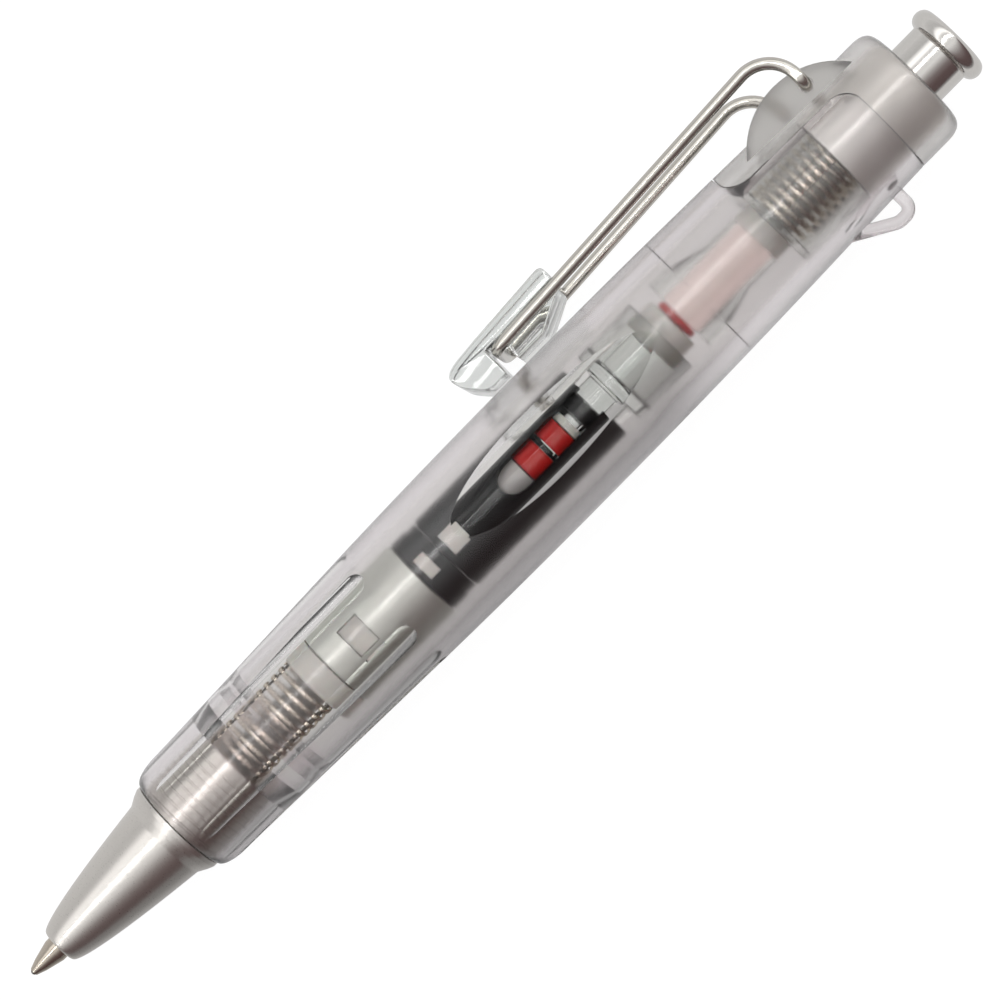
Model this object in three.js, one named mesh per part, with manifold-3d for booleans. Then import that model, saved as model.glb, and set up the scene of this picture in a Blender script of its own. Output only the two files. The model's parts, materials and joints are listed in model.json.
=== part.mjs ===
// A pressurized ballpoint pen with a clear body and a sprung wire clip, clicked out and lying at rest.
// Millimetres. Inside the pen group, x runs back from the front of the writing ball along the pen,
// y points at the clip and z out of the window that faces up. The group is then rolled onto its clip.
import * as THREE from "three";
import { mergeVertices } from "three/addons/utils/BufferGeometryUtils.js";
import Module from "manifold-3d";

const wasm = await Module();
wasm.setup();

// Fits
const seam = 0.1; // parting line between two outer shells
const slip = 0.1; // radial play of a plain inner fit
const runFit = 0.15; // radial play of a fit that turns or slides
const buttFit = 0.1; // play between two inner pieces that stand end to end
const over = 1; // how far a cutter reaches past what it cuts
const rollAngle = 6.1; // degrees that the clip dips as the pen lies on its barrel and clip

// Point and refill
const ballRadius = 0.35;
const ballPlay = 0.03;
const tipOut = 3.8; // point showing in front of the nose
const tipRadius = 1.25;
const tipConeLength = 3.1;
const tipLipRadius = 0.42;
const tipLip = 0.1; // how far the lip closes round the front of the ball
const tipNeckStart = 1.24; // end of the steep lip behind the ball
const tipNeckRadius = 0.78;
const tipEdge = 0.4; // small chamfer behind the cone
const tipEdgeDepth = 0.04;
const tipLength = 11.0;
const tipTailRadius = 1.0;
const tipTailLength = 2.2;
const tipInkRadius = 0.3;
const adapterRadius = 1.9;
const adapterLength = 3.8;
const adapterPlugLength = 3.0;
const adapterInkRadius = 0.4;
const adapterChamfer = 0.4;
const adapterTaper = 1.0;
const refillRadius = 1.6;
const refillWall = 0.4;
const tubeSetback = 7.2; // from the rear of the valve sleeve forward to the ink tube's end

// Nose cone
const noseLength = 16.4;
const noseFrontRadius = 1.83;
const noseWaistRadius = 4.45;
const noseRimRadius = 5.2;
const noseFlareLength = 2.0;
const noseMouthLength = 3.0;
const noseMouthRadius = tipRadius + slip;
const noseCavityRadius = 2.4;
const noseCavityTaper = 1.0;
const noseRimLength = 0.5;
const noseRimSlope = 0.6; // length over which the rim falls in front
const noseRimDrop = 0.25;
const noseSwell = 0.6; // power of the cone's curve: 1 is straight
const spigotRadius = 4.6;
const spigotLength = 8.2;

// Barrel
const barrelLength = 94.3;
const barrelFrontRadius = 5.3;
const shoulderRadius = 6.2;
const shoulderLength = 2.9;
const bellyRadius = 7.25;
const bellyStart = 49.0; // from the barrel's front edge to the first full-width section
const bellyLength = 5.0;
const tailRadius = 6.5;
const boreRadius = 5.5;
const boreStep = 58.3; // from the front edge to the change of bore
const rearBoreRadius = 5.05;
const boreStepSlope = 0.4;
const threadRelief = 1.0; // length of the slope between the screwed bore and the main bore
const bellySwell = 1.2; // power of the swell from shoulder to belly

// Grip grooves
const grooveCount = 6;
const grooveStart = 2.0; // from the barrel's front edge
const grooveLength = 27.0;
const grooveCutterRadius = 1.3;
const grooveFrontDepth = 0.06;
const grooveRearDepth = 0.6;

// Scooped windows
const windowLead = 2.1; // from the front of the valve sleeve back to the window
const windowLength = 26.3;
const windowWidth = 6.7;
const windowPeak = 11.4; // from the window's front end to its widest place
const windowHollow = 30; // distance of the scoop's own axis from the pen's axis

// Slot for the tail cap's tongue, and its rounded corners
const slotLength = 15.0;
const slotHalfAngle = 57; // degrees either side of the clip's direction
const slotCorner = 2.4;
const slotPlay = 0.25;

// Cord eye moulded on the barrel
const eyeWire = 0.65;
const eyeReach = 9.3; // outermost point from the pen's axis
const eyeSetback = 9.9; // from the barrel's rear edge forward to the front of the eye
const eyeSlopeLength = 4.5;
const eyeBarLength = 1.8;
const eyeCorner = 1.0;
const eyeRoot = 0.75; // depth of its feet in the barrel wall

// Tail cap: ring, tongue and round ears that hold the clip
const capRingLength = 5.3;
const capRounding = 2.0;
const capEndWall = 0.6;
const humpRadius = 8.45;
const humpHalfWidth = 4.4;
const humpSetback = 5.0; // from the front of the ring forward to the middle of the round ears
const humpFloor = 2.6; // height over the pen's axis where the ears begin
const pivotRadius = 0.62;
const pivotPlay = 0.12;
const pivotDepth = 2.3; // how deep the wire's holes go into the hump
const nearPivotX = -2.6; // along the pen from the front of the ring
const farPivotX = -5.8;
const pivotHeight = 6.4;

// Clip wire and pad
const wireRadius = 0.62;
const wireHalfSpan = 5.4;
const wireRearHeight = 11.4;
const wireFrontHeight = 9.6;
const wireReach = 38.2; // from the near pivot forward to the cross bar
const wireBend = 3.6;
const wireCorner = 1.5;
const wireEndBend = 0.9;
const wireTail = 1.6; // length of each turned-in end
const footGap = 0.12;
const padNoseLength = 5.2; // in front of the cross bar
const padTailLength = 8.6; // behind the cross bar
const padFootLength = 2.3;
const padNotch = 1.8;
const padFrontHeight = 11.6;
const padRearHeight = 12.3;
const padHeelLength = 4.4;
const padHeelRise = 2.2;
const padHalfWidth = 5.35;
const padGroovePlay = 0.12;
const padStep = 0.15; // the rear block stands this much clear of the foot's level
const padCorner = 0.4;
const padHeelCorner = 0.8;
const padBrow = 1.0; // in front of the cross bar, where the top turns down
const padNoseDrop = 1.9;
const padChin = 0.9;

// Carriage
const frontSpringLength = 10.2;
const frontSpringCurls = 10;
const springWire = 0.225;
const springRadius = 3.22; // to the middle of the wire
const seatLength = 2.6;
const seatRadius = 4.35;
const sleeveShare = 6 / 11; // share of the free run that the front sleeve takes; the piston rod has the rest
const sleeveRadius = 4.45;
const sleeveWall = 1.0;
const latchSetback = 2.8; // from the sleeve's front edge to its square latch window
const latchLength = 2.5;
const latchWidth = 3.2;
const latchRise = 0.55;
const coreSetback = 0.3;
const couplerLength = 3.1;
const couplerRadius = 4.28;
const couplerGroove = 0.35;
const couplerGrooveLength = 1.2;
const valveSleeveLength = 20.2;
const valveSleeveWall = 0.95;
const valveSlotLength = 12.3;
const valveSlotWidth = 3.4;
const plugLength = 5.0;
const plugTaper = 2.3;
const frontSealLength = 2.6;
const plugLip = 0.4;
const plugNoseWall = 0.5;
const plugRimWall = 0.7;
const sealRound = 0.35;
const sealOverTube = 0.4; // how far the front seal stands past the ink tube

// Knock group
const valveGap = 0.7;
const rearSealLength = 2.2;
const spacerLength = 0.8;
const spacerGap = 0.7;
const ringLength = 1.7;
const stemRadius = 1.6;
const bossLength = 2.3;
const cylinderLength = 7.0;
const cylinderRadius = 4.2;
const cylinderWall = 0.9;
const cylinderFloor = 1.2;
const cylinderChamfer = 0.3;
const stemSetback = 0.3; // the stem starts this far inside the rear seal
const pistonLength = 3.2;
const pistonHeadLength = 1.6;
const pistonHeadRadius = 2.9;
const pistonStep = 0.2; // short slope at the piston's shoulder, and the rod's setback in it
const rodSealLength = 0.7;
const rodRadius = 2.35;
const rodSetback = 2.0; // from the front of the guide forward to the rod's shoulder
const rodPilotRadius = 1.2;
const rodPilotLength = 3.6;
const housingRadius = 4.1;
const housingCollarLength = 2.0;
const housingTailLength = 3.6; // plain end behind the taper
const housingEndRadius = 2.85;
const rotorRadius = 2.8;
const rotorLength = 2.4;
const ratchetTeeth = 4;
const toothHeight = 0.7;
const toothRamp = 0.94; // share of a tooth's pitch that its slope takes
const toothPlay = 0.1; // the two rings' teeth pass each other at any angle
const pushRodRadius = 2.0;
const pushRodInButton = 10.0;

// Guide, bush, rear spring and button
const guideSetback = 14.4; // from the front of the cap's ring forward to the guide
const guideLength = 8.6;
const guideWall = 0.9;
const guideLip = 0.8;
const guideLipRadius = 2.97;
const guideSlots = 3;
const guideSlotWidth = 1.4;
const guideSlotLength = 6.2;
const rearSpringLength = 7.8;
const rearSpringCurls = 7;
const bushShoulder = 3.2; // length of its narrow rear end
const buttonRadius = 3.33;
const buttonOut = 3.3; // plain shaft showing behind the cap
const buttonHeadRadius = 4.2;
const buttonHeadLength = 2.1;
const buttonFaceRadius = 3.3;
const buttonFlangeRadius = 3.85;
const buttonFlangeLength = 1.4;
const buttonRoof = 4.2;

// Length of everything that stands between the front sleeve and the piston rod
const lengthBetween =
  couplerLength +
  valveSleeveLength -
  tubeSetback +
  sealOverTube +
  valveGap +
  rearSealLength +
  spacerLength +
  spacerGap +
  ringLength +
  bossLength +
  cylinderLength +
  pistonHeadLength +
  rodSealLength +
  6 * buttFit;

// Stations along the pen, each from its neighbour
const noseFront = tipOut;
const noseRear = noseFront + noseLength;
const barrelFront = noseRear + seam;
const barrelRear = barrelFront + barrelLength;
const capFront = barrelRear + seam;
const capRear = capFront + capRingLength;
const spigotRear = noseRear + spigotLength;
const springFront = spigotRear + buttFit;
const seatFront = springFront + frontSpringLength + buttFit;
const sleeveFront = seatFront + seatLength + buttFit;
const guideFront = capFront - guideSetback;
const rodRear = guideFront - rodSetback;
const freeRun = rodRear - sleeveFront - lengthBetween;
const sleeveLength = freeRun * sleeveShare;
const couplerFront = sleeveFront + sleeveLength + buttFit;
const valveFront = couplerFront + couplerLength + buttFit;
const valveRear = valveFront + valveSleeveLength;
const tubeBack = valveRear - tubeSetback;
const frontSealRear = tubeBack + sealOverTube;
const plugRear = frontSealRear - frontSealLength - buttFit;
const rearSealFront = frontSealRear + valveGap;
const spacerFront = rearSealFront + rearSealLength + buttFit;
const ringFront = spacerFront + spacerLength + spacerGap;
const bossFront = ringFront + ringLength + buttFit;
const cylinderFront = bossFront + bossLength;
const cylinderRear = cylinderFront + cylinderLength;
const pistonRear = cylinderRear + pistonHeadLength;
const rodSealFront = pistonRear + buttFit;
const rodFront = rodSealFront + rodSealLength + buttFit;
const rotorFront = rodRear + buttFit;
const rotorRear = rotorFront + rotorLength;
const bushRear = capRear - capEndWall - buttFit;
const buttonHeadFront = capRear + buttonOut;
const buttonRear = buttonHeadFront + buttonHeadLength;
const guideRear = guideFront + guideLength;
const bushFront = guideRear + buttFit;
const rearSpringFront = guideFront + guideLip + buttFit;
const buttonInner = rearSpringFront + rearSpringLength + buttFit;

// Radii that follow from the fits
const tubeHole = refillRadius + slip;
const sleeveBore = sleeveRadius - sleeveWall;
const coreRadius = sleeveBore - slip;
const valveBore = couplerRadius - valveSleeveWall;
const valveBodyRadius = valveBore - slip;
const guideRadius = rearBoreRadius - runFit;
const guideBore = guideRadius - guideWall;
const bushBore = buttonFlangeRadius + runFit;
const threadBore = spigotRadius + runFit;

const alongX = -Math.PI / 2; // turn about z that lays a turned shape's axis along the pen

// Makes a solid of a closed surface, and turns it the right way out.
function solidOf(geometry) {
  const bare = new THREE.BufferGeometry();
  const source = geometry.index ? geometry.toNonIndexed() : geometry;
  bare.setAttribute("position", source.getAttribute("position"));
  const merged = mergeVertices(bare, 1e-4);
  const corners = merged.index.array;
  const kept = [];
  for (let i = 0; i < corners.length; i += 3) {
    const [a, b, c] = [corners[i], corners[i + 1], corners[i + 2]];
    if (a !== b && b !== c && c !== a) kept.push(a, b, c);
  }
  const build = (indices) =>
    new wasm.Manifold(
      new wasm.Mesh({
        numProp: 3,
        vertProperties: merged.getAttribute("position").array,
        triVerts: new Uint32Array(indices),
      }),
    );
  const made = build(kept);
  if (made.volume() > 0) return made;
  for (let i = 0; i < kept.length; i += 3)
    [kept[i + 1], kept[i + 2]] = [kept[i + 2], kept[i + 1]];
  return build(kept);
}

// Turns a closed profile of [along, radius] points round the pen's axis.
function revolved(profile, sides = 24) {
  const points = profile.map(([x, r]) => new THREE.Vector2(r, x));
  const closed = profile[0][1] > 0;
  if (closed) points.push(points[0].clone());
  return new THREE.LatheGeometry(points, sides).rotateZ(alongX);
}

function turned(profile, sides) {
  return solidOf(revolved(profile, sides));
}

// A plain ring or bush.
function ringSolid(x0, x1, inner, outer, sides) {
  return turned(
    [
      [x0, inner],
      [x1, inner],
      [x1, outer],
      [x0, outer],
    ],
    sides,
  );
}

// Joins a row of closed outlines of equal length into one surface, with a flat end at each end.
function lofted(rings, endless = false) {
  const corners = [];
  const push = (...points) =>
    points.forEach((p) => corners.push(p.x, p.y, p.z));
  const last = endless ? rings.length : rings.length - 1;
  for (let i = 0; i < last; i++) {
    const a = rings[i];
    const b = rings[(i + 1) % rings.length];
    for (let j = 0; j < a.length; j++) {
      const k = (j + 1) % a.length;
      push(a[j], b[j], b[k]);
      push(a[j], b[k], a[k]);
    }
  }
  if (!endless) {
    const front = rings[0];
    const back = rings[rings.length - 1];
    for (let j = 1; j < front.length - 1; j++) {
      push(front[0], front[j], front[j + 1]);
      push(back[0], back[j + 1], back[j]);
    }
  }
  const geometry = new THREE.BufferGeometry();
  geometry.setAttribute(
    "position",
    new THREE.Float32BufferAttribute(corners, 3),
  );
  return geometry;
}

// The point at a radius and an angle from the clip's direction towards the window.
function around(x, radius, degrees) {
  const angle = THREE.MathUtils.degToRad(degrees);
  return new THREE.Vector3(
    x,
    radius * Math.cos(angle),
    radius * Math.sin(angle),
  );
}

// A block of a tube's wall between two angles.
function wallBlock(x0, x1, inner, outer, from, to) {
  const steps = Math.max(2, Math.ceil((to - from) / 7));
  const outline = (x) => {
    const points = [];
    for (let i = 0; i <= steps; i++)
      points.push(around(x, outer, from + ((to - from) * i) / steps));
    for (let i = steps; i >= 0; i--)
      points.push(around(x, inner, from + ((to - from) * i) / steps));
    return points;
  };
  const a = outline(x0);
  const b = outline(x1);
  const corners = [];
  const push = (...points) =>
    points.forEach((p) => corners.push(p.x, p.y, p.z));
  const count = a.length;
  for (let j = 0; j < count; j++) {
    const k = (j + 1) % count;
    push(a[j], b[j], b[k]);
    push(a[j], b[k], a[k]);
  }
  for (let j = 0; j < steps; j++) {
    const opposite = count - 1 - j;
    push(a[j], a[j + 1], a[opposite - 1]);
    push(a[j], a[opposite - 1], a[opposite]);
    push(b[j], b[opposite - 1], b[j + 1]);
    push(b[j], b[opposite], b[opposite - 1]);
  }
  const geometry = new THREE.BufferGeometry();
  geometry.setAttribute(
    "position",
    new THREE.Float32BufferAttribute(corners, 3),
  );
  return solidOf(geometry);
}

// A round peg that stands out from the pen's axis at an angle.
function radialPeg(x, degrees, radius, inner, outer, sides = 24) {
  const peg = new THREE.CylinderGeometry(radius, radius, outer - inner, sides);
  peg.translate(0, (outer + inner) / 2, 0);
  peg.rotateX(THREE.MathUtils.degToRad(degrees));
  peg.translate(x, 0, 0);
  return solidOf(peg);
}

// Outer radius of the barrel along the pen: shoulder, slow swell to the belly, and taper to the tail.
function barrelRadius(x) {
  const fromFront = x - barrelFront;
  const bellyEnd = bellyStart + bellyLength;
  if (fromFront < shoulderLength) {
    const u = Math.max(0, fromFront) / shoulderLength;
    const rise = Math.sqrt(1 - (1 - u) ** 2);
    return barrelFrontRadius + (shoulderRadius - barrelFrontRadius) * rise;
  }
  if (fromFront < bellyStart) {
    const u = (fromFront - shoulderLength) / (bellyStart - shoulderLength);
    const swell = Math.sin((Math.PI / 2) * u) ** bellySwell;
    return shoulderRadius + (bellyRadius - shoulderRadius) * swell;
  }
  if (fromFront < bellyEnd) return bellyRadius;
  const u = Math.min(1, (fromFront - bellyEnd) / (barrelLength - bellyEnd));
  return (
    bellyRadius - (bellyRadius - tailRadius) * (1 - Math.cos((Math.PI / 2) * u))
  );
}

function steps(from, to, count) {
  return Array.from(
    { length: count + 1 },
    (_, i) => from + ((to - from) * i) / count,
  );
}

// One grip groove: a round-nosed cutter that sinks slowly into the swelling barrel.
function grooveCutter(degrees) {
  const x0 = barrelFront + grooveStart;
  const x1 = x0 + grooveLength - grooveCutterRadius;
  const height0 = barrelRadius(x0) - grooveFrontDepth + grooveCutterRadius;
  const height1 = barrelRadius(x1) - grooveRearDepth + grooveCutterRadius;
  const length = Math.hypot(x1 - x0, height1 - height0);
  const profile = [
    [-grooveCutterRadius, 0],
    [-grooveCutterRadius, grooveCutterRadius],
  ];
  for (const a of steps(0, Math.PI / 2, 5))
    profile.push([
      length + grooveCutterRadius * Math.sin(a),
      grooveCutterRadius * Math.cos(a),
    ]);
  const cutter = revolved(profile, 16);
  cutter.rotateZ(Math.atan2(height1 - height0, x1 - x0));
  cutter.translate(x0, height0, 0);
  cutter.rotateX(THREE.MathUtils.degToRad(degrees));
  return solidOf(cutter);
}

// Half the width of a scooped window at a distance from its front end.
function windowHalfWidth(along) {
  const reach = along < windowPeak ? windowPeak : windowLength - windowPeak;
  const u = (along - windowPeak) / reach;
  return (windowWidth / 2) * Math.sqrt(Math.max(0, 1 - u * u));
}

// The scoop of one window, concave across and along, over the bore on one side of the barrel.
function windowScoop(degrees) {
  const front = valveFront + windowLead;
  const spread = 0.3; // radians that the scoop reaches either side of its middle
  const rings = steps(0, Math.PI, 14).map((a) => {
    const along = (windowLength * (1 - Math.cos(a))) / 2;
    const radius = barrelRadius(front + along);
    const half = windowHalfWidth(along);
    const chord = Math.sqrt(radius * radius - half * half);
    const scoop = Math.sqrt(
      windowHollow ** 2 + radius * radius - 2 * windowHollow * chord,
    );
    const outline = steps(-spread, spread, 10).map(
      (b) =>
        new THREE.Vector3(
          front + along,
          windowHollow - scoop * Math.cos(b),
          scoop * Math.sin(b),
        ),
    );
    outline.push(new THREE.Vector3(front + along, windowHollow, windowWidth));
    outline.push(new THREE.Vector3(front + along, windowHollow, -windowWidth));
    return outline;
  });
  const cutter = lofted(rings);
  cutter.rotateX(THREE.MathUtils.degToRad(degrees));
  return solidOf(cutter);
}

// The space of the tongue: a wall block with rounded front corners that flares into the ring.
// A play above zero draws every side in by that much.
function tongueSpace(play) {
  const inner = rearBoreRadius - over;
  const outer = humpRadius + humpHalfWidth;
  const pegOver = over / 2; // pegs and blocks end at different depths, so no faces coincide
  const blockOver = 0.4 * over;
  const sideOver = 4; // degrees past the tongue's side
  const front = barrelRear - slotLength + play;
  const back = capRear;
  const degreesPerMm = 180 / (Math.PI * tailRadius);
  const half = slotHalfAngle - play * degreesPerMm;
  const corner = slotCorner * degreesPerMm;
  let space = wallBlock(front, back, inner, outer, -half, half);
  for (const side of [-1, 1]) {
    const frontRadius = slotCorner - play;
    const frontTurn = frontRadius * degreesPerMm;
    const frontPeg = radialPeg(
      front + frontRadius,
      side * (half - frontTurn),
      frontRadius,
      inner - pegOver,
      outer + pegOver,
    );
    const frontBlock = wallBlock(
      front - over,
      front + frontRadius,
      inner - blockOver,
      outer + blockOver,
      side > 0 ? half - frontTurn : -half - sideOver,
      side > 0 ? half + sideOver : -half + frontTurn,
    );
    space = space.subtract(frontBlock.subtract(frontPeg));
    const rearRadius = slotCorner + play;
    const rearTurn = rearRadius * degreesPerMm;
    const edge = barrelRear;
    const rearPeg = radialPeg(
      edge - slotCorner,
      side * (slotHalfAngle + corner),
      rearRadius,
      inner - pegOver,
      outer + pegOver,
    );
    const rearBlock = wallBlock(
      edge - slotCorner,
      back,
      inner,
      outer,
      side > 0 ? half - 1 : -half - rearTurn,
      side > 0 ? half + rearTurn : -half + 1,
    );
    space = space.add(rearBlock.subtract(rearPeg));
  }
  return space;
}

// A route of straight runs with rounded corners.
function roundedRoute(points, corners) {
  const route = new THREE.CurvePath();
  let start = points[0];
  for (let i = 1; i < points.length - 1; i++) {
    const into = points[i].clone().sub(points[i - 1]).normalize();
    const out = points[i + 1].clone().sub(points[i]).normalize();
    const cut = corners[i - 1] * Math.tan(into.angleTo(out) / 2);
    const enter = points[i].clone().addScaledVector(into, -cut);
    const leave = points[i].clone().addScaledVector(out, cut);
    route.add(new THREE.LineCurve3(start, enter));
    route.add(new THREE.QuadraticBezierCurve3(enter, points[i], leave));
    start = leave;
  }
  route.add(new THREE.LineCurve3(start, points[points.length - 1]));
  return route;
}

// Round wire along a route.
function wireSolid(route, radius, count, sides = 8) {
  const outline = new THREE.Shape();
  for (let i = 0; i < sides; i++) {
    const angle = (2 * Math.PI * i) / sides;
    const [x, y] = [radius * Math.cos(angle), radius * Math.sin(angle)];
    if (i) outline.lineTo(x, y);
    else outline.moveTo(x, y);
  }
  return solidOf(
    new THREE.ExtrudeGeometry(outline, {
      steps: count,
      extrudePath: route,
      bevelEnabled: false,
    }),
  );
}

// A coil spring as one unbroken tube. Both ends turn along the pen for one wire thickness to meet
// their seats.
function woundSpring(name, front, length, curls) {
  const turnSteps = 8;
  const sides = 5;
  const stub = 2 * springWire;
  const points = [around(front, springRadius, 0)];
  const wound = length - 2 * stub;
  for (let i = 0; i <= curls * turnSteps; i++)
    points.push(
      around(
        front + stub + (wound * i) / (curls * turnSteps),
        springRadius,
        (360 * i) / turnSteps,
      ),
    );
  points.push(around(front + length, springRadius, 360 * curls));
  const rings = points.map((point, i) => {
    const before = points[Math.max(0, i - 1)];
    const after = points[Math.min(points.length - 1, i + 1)];
    const ahead = after.clone().sub(before).normalize();
    const outward = new THREE.Vector3(0, point.y, point.z).normalize();
    outward.addScaledVector(ahead, -outward.dot(ahead)).normalize();
    const across = new THREE.Vector3().crossVectors(ahead, outward);
    return steps(0, 2 * Math.PI * (1 - 1 / sides), sides - 1).map((a) =>
      point
        .clone()
        .addScaledVector(outward, springWire * Math.cos(a))
        .addScaledVector(across, springWire * Math.sin(a)),
    );
  });
  console.log(
    `${name}: least gap between its curls ${leastGap(points).toFixed(2)} mm`,
  );
  return solidOf(lofted(rings));
}

// The least gap between two stretches of a wound wire that lie at least half a curl apart.
function leastGap(points) {
  const fine = [];
  for (let i = 0; i < points.length - 1; i++)
    for (const u of [0, 0.25, 0.5, 0.75])
      fine.push(points[i].clone().lerp(points[i + 1], u));
  const apart = 16;
  let least = Infinity;
  for (let i = 0; i < fine.length; i++)
    for (let j = i + apart; j < fine.length; j++)
      least = Math.min(least, fine[i].distanceTo(fine[j]));
  return least - 2 * springWire;
}

// A turned profile of [along, radius, toothed] points, whose toothed points rise and drop as saw teeth.
function crowned(profile, rise) {
  const turnSteps = 7;
  const rings = [];
  for (let tooth = 0; tooth < ratchetTeeth; tooth++)
    for (let i = 0; i < turnSteps; i++) {
      const share = i / (turnSteps - 1);
      const angle = (360 * (tooth + toothRamp * share)) / ratchetTeeth;
      rings.push(
        profile.map(([x, r, toothed]) =>
          around(toothed ? x + rise * share : x, r, angle),
        ),
      );
    }
  return solidOf(lofted(rings, true));
}

function makeWritingBall() {
  const ball = new THREE.SphereGeometry(ballRadius, 12, 8);
  ball.translate(ballRadius, 0, 0);
  return solidOf(ball);
}

function makeTipSocket() {
  const cup = ballRadius + ballPlay;
  const mouth = Math.sqrt(cup * cup - tipLip * tipLip);
  const profile = [
    [ballRadius - tipLip, mouth],
    [ballRadius, cup],
    [ballRadius + Math.SQRT1_2 * cup, Math.SQRT1_2 * cup],
    [ballRadius + cup, tipInkRadius],
    [tipLength + tipTailLength, tipInkRadius],
    [tipLength + tipTailLength, tipTailRadius],
    [tipLength, tipTailRadius],
    [tipLength, tipRadius],
    [tipConeLength + tipEdge, tipRadius],
    [tipConeLength, tipRadius - tipEdgeDepth],
    [tipNeckStart, tipNeckRadius],
    [ballRadius - tipLip, tipLipRadius],
  ];
  return turned(profile, 16);
}

function makeTipAdapter() {
  const front = tipLength + buttFit;
  const plugRadius = refillRadius - refillWall - slip / 2;
  const tail = front + adapterLength;
  const socketDepth = tipTailLength + buttFit;
  return turned([
    [front, tipTailRadius + slip / 2],
    [front + socketDepth, tipTailRadius + slip / 2],
    [front + socketDepth, adapterInkRadius],
    [tail + adapterPlugLength, adapterInkRadius],
    [tail + adapterPlugLength, plugRadius],
    [tail, plugRadius],
    [tail, refillRadius],
    [tail - adapterTaper, adapterRadius],
    [front + adapterChamfer, adapterRadius],
    [front, adapterRadius - adapterChamfer],
  ]);
}

function makeRefillTube() {
  const front = tipLength + adapterLength + 2 * buttFit;
  return ringSolid(front, tubeBack, refillRadius - refillWall, refillRadius);
}

function makeNoseCone() {
  const waist = noseRear - noseFlareLength;
  const profile = [
    [noseFront, noseMouthRadius],
    [noseFront + noseMouthLength, noseMouthRadius],
    [noseFront + noseMouthLength + noseCavityTaper, noseCavityRadius],
    [spigotRear, noseCavityRadius],
    [spigotRear, spigotRadius],
    [noseRear, spigotRadius],
    [noseRear, noseRimRadius],
    [noseRear - noseRimLength, noseRimRadius],
    [noseRear - noseRimLength - noseRimSlope, noseRimRadius - noseRimDrop],
  ];
  const crowd = 1.3; // sets the sections closer where the cone curves more
  for (const u of steps(1, 0, 8)) {
    const x = noseFront + (waist - noseFront) * u ** crowd;
    const share = ((x - noseFront) / (waist - noseFront)) ** noseSwell;
    profile.push([
      x,
      noseFrontRadius + (noseWaistRadius - noseFrontRadius) * share,
    ]);
  }
  return turned(profile, 32);
}

function makeBarrel() {
  const shoulder = steps(0, Math.PI / 2, 4).map(
    (a) => barrelFront + shoulderLength * (1 - Math.cos(a)),
  );
  const stepX = barrelFront + boreStep;
  const outside = [
    ...shoulder,
    ...steps(
      barrelFront + shoulderLength,
      barrelFront + bellyStart,
      7,
    ).slice(1),
    ...steps(barrelFront + bellyStart + bellyLength, barrelRear, 7),
  ];
  const profile = [
    [barrelRear, rearBoreRadius],
    [stepX + boreStepSlope, rearBoreRadius],
    [stepX, boreRadius],
    [spigotRear + threadRelief, boreRadius],
    [spigotRear - seam, threadBore],
    [barrelFront, threadBore],
    ...outside.map((x) => [x, barrelRadius(x)]),
  ];
  let barrel = turned(profile, 44);
  for (let i = 0; i < grooveCount; i++)
    barrel = barrel.subtract(grooveCutter((360 * i) / grooveCount));
  barrel = barrel.subtract(windowScoop(90)).subtract(windowScoop(-90));
  return barrel.subtract(tongueSpace(0)).add(makeCordEye());
}

function makeCordEye() {
  const front = barrelRear - eyeSetback;
  const low = -(eyeReach - eyeWire);
  const root = (x) => -(barrelRadius(x) - eyeRoot);
  const corner = front + eyeSlopeLength;
  const back = corner + eyeBarLength;
  const route = roundedRoute(
    [
      new THREE.Vector3(front, root(front), 0),
      new THREE.Vector3(corner, low, 0),
      new THREE.Vector3(back, low, 0),
      new THREE.Vector3(back, root(back), 0),
    ],
    [eyeCorner, eyeCorner],
  );
  return wireSolid(route, eyeWire, 18, 10);
}

// A flat round disc on an axis across the pen.
function crossDisc(x, height, radius, halfWidth, sides) {
  const disc = new THREE.CylinderGeometry(
    radius,
    radius,
    2 * halfWidth,
    sides,
  );
  disc.rotateX(Math.PI / 2);
  disc.translate(x, height, 0);
  return solidOf(disc);
}

function pivotHole(x, side) {
  const hole = new THREE.CylinderGeometry(
    pivotRadius + pivotPlay,
    pivotRadius + pivotPlay,
    2 * pivotDepth,
    16,
  );
  hole.rotateX(Math.PI / 2);
  hole.translate(x, pivotHeight, side * humpHalfWidth);
  return solidOf(hole);
}

function makeTailCap() {
  const innerRadius = rearBoreRadius;
  const front = barrelRear - slotLength - over;
  const profile = [
    [front, innerRadius],
    [capRear - capEndWall, innerRadius],
    [capRear - capEndWall, buttonRadius + runFit],
    [capRear, buttonRadius + runFit],
  ];
  for (const a of steps(0, Math.PI / 2, 4))
    profile.push([
      capRear - capRounding * (1 - Math.cos(a)),
      tailRadius - capRounding * (1 - Math.sin(a)),
    ]);
  profile.push([capFront, tailRadius]);
  for (const x of steps(barrelRear, front, 6))
    profile.push([x, barrelRadius(x)]);
  const shell = turned(profile, 48);
  const outer = humpRadius + humpHalfWidth + 2 * over;
  const ringZone = ringSolid(capFront, capRear + over, over / 2, outer, 24);
  const tongueZone = tongueSpace(slotPlay);
  const humpX = capFront - humpSetback;
  const keep = ringSolid(
    humpX - humpRadius - over,
    humpX + humpRadius + over,
    innerRadius,
    outer,
    48,
  );
  const above = new THREE.BoxGeometry(
    4 * humpRadius,
    2 * humpRadius,
    4 * humpHalfWidth,
  );
  above.translate(humpX, humpRadius + humpFloor, 0);
  const hump = crossDisc(humpX, 0, humpRadius, humpHalfWidth, 56)
    .intersect(keep)
    .intersect(solidOf(above));
  return shell
    .add(hump)
    .intersect(ringZone.add(tongueZone))
    .subtract(pivotHole(capFront + nearPivotX, 1))
    .subtract(pivotHole(capFront + farPivotX, -1));
}

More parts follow.
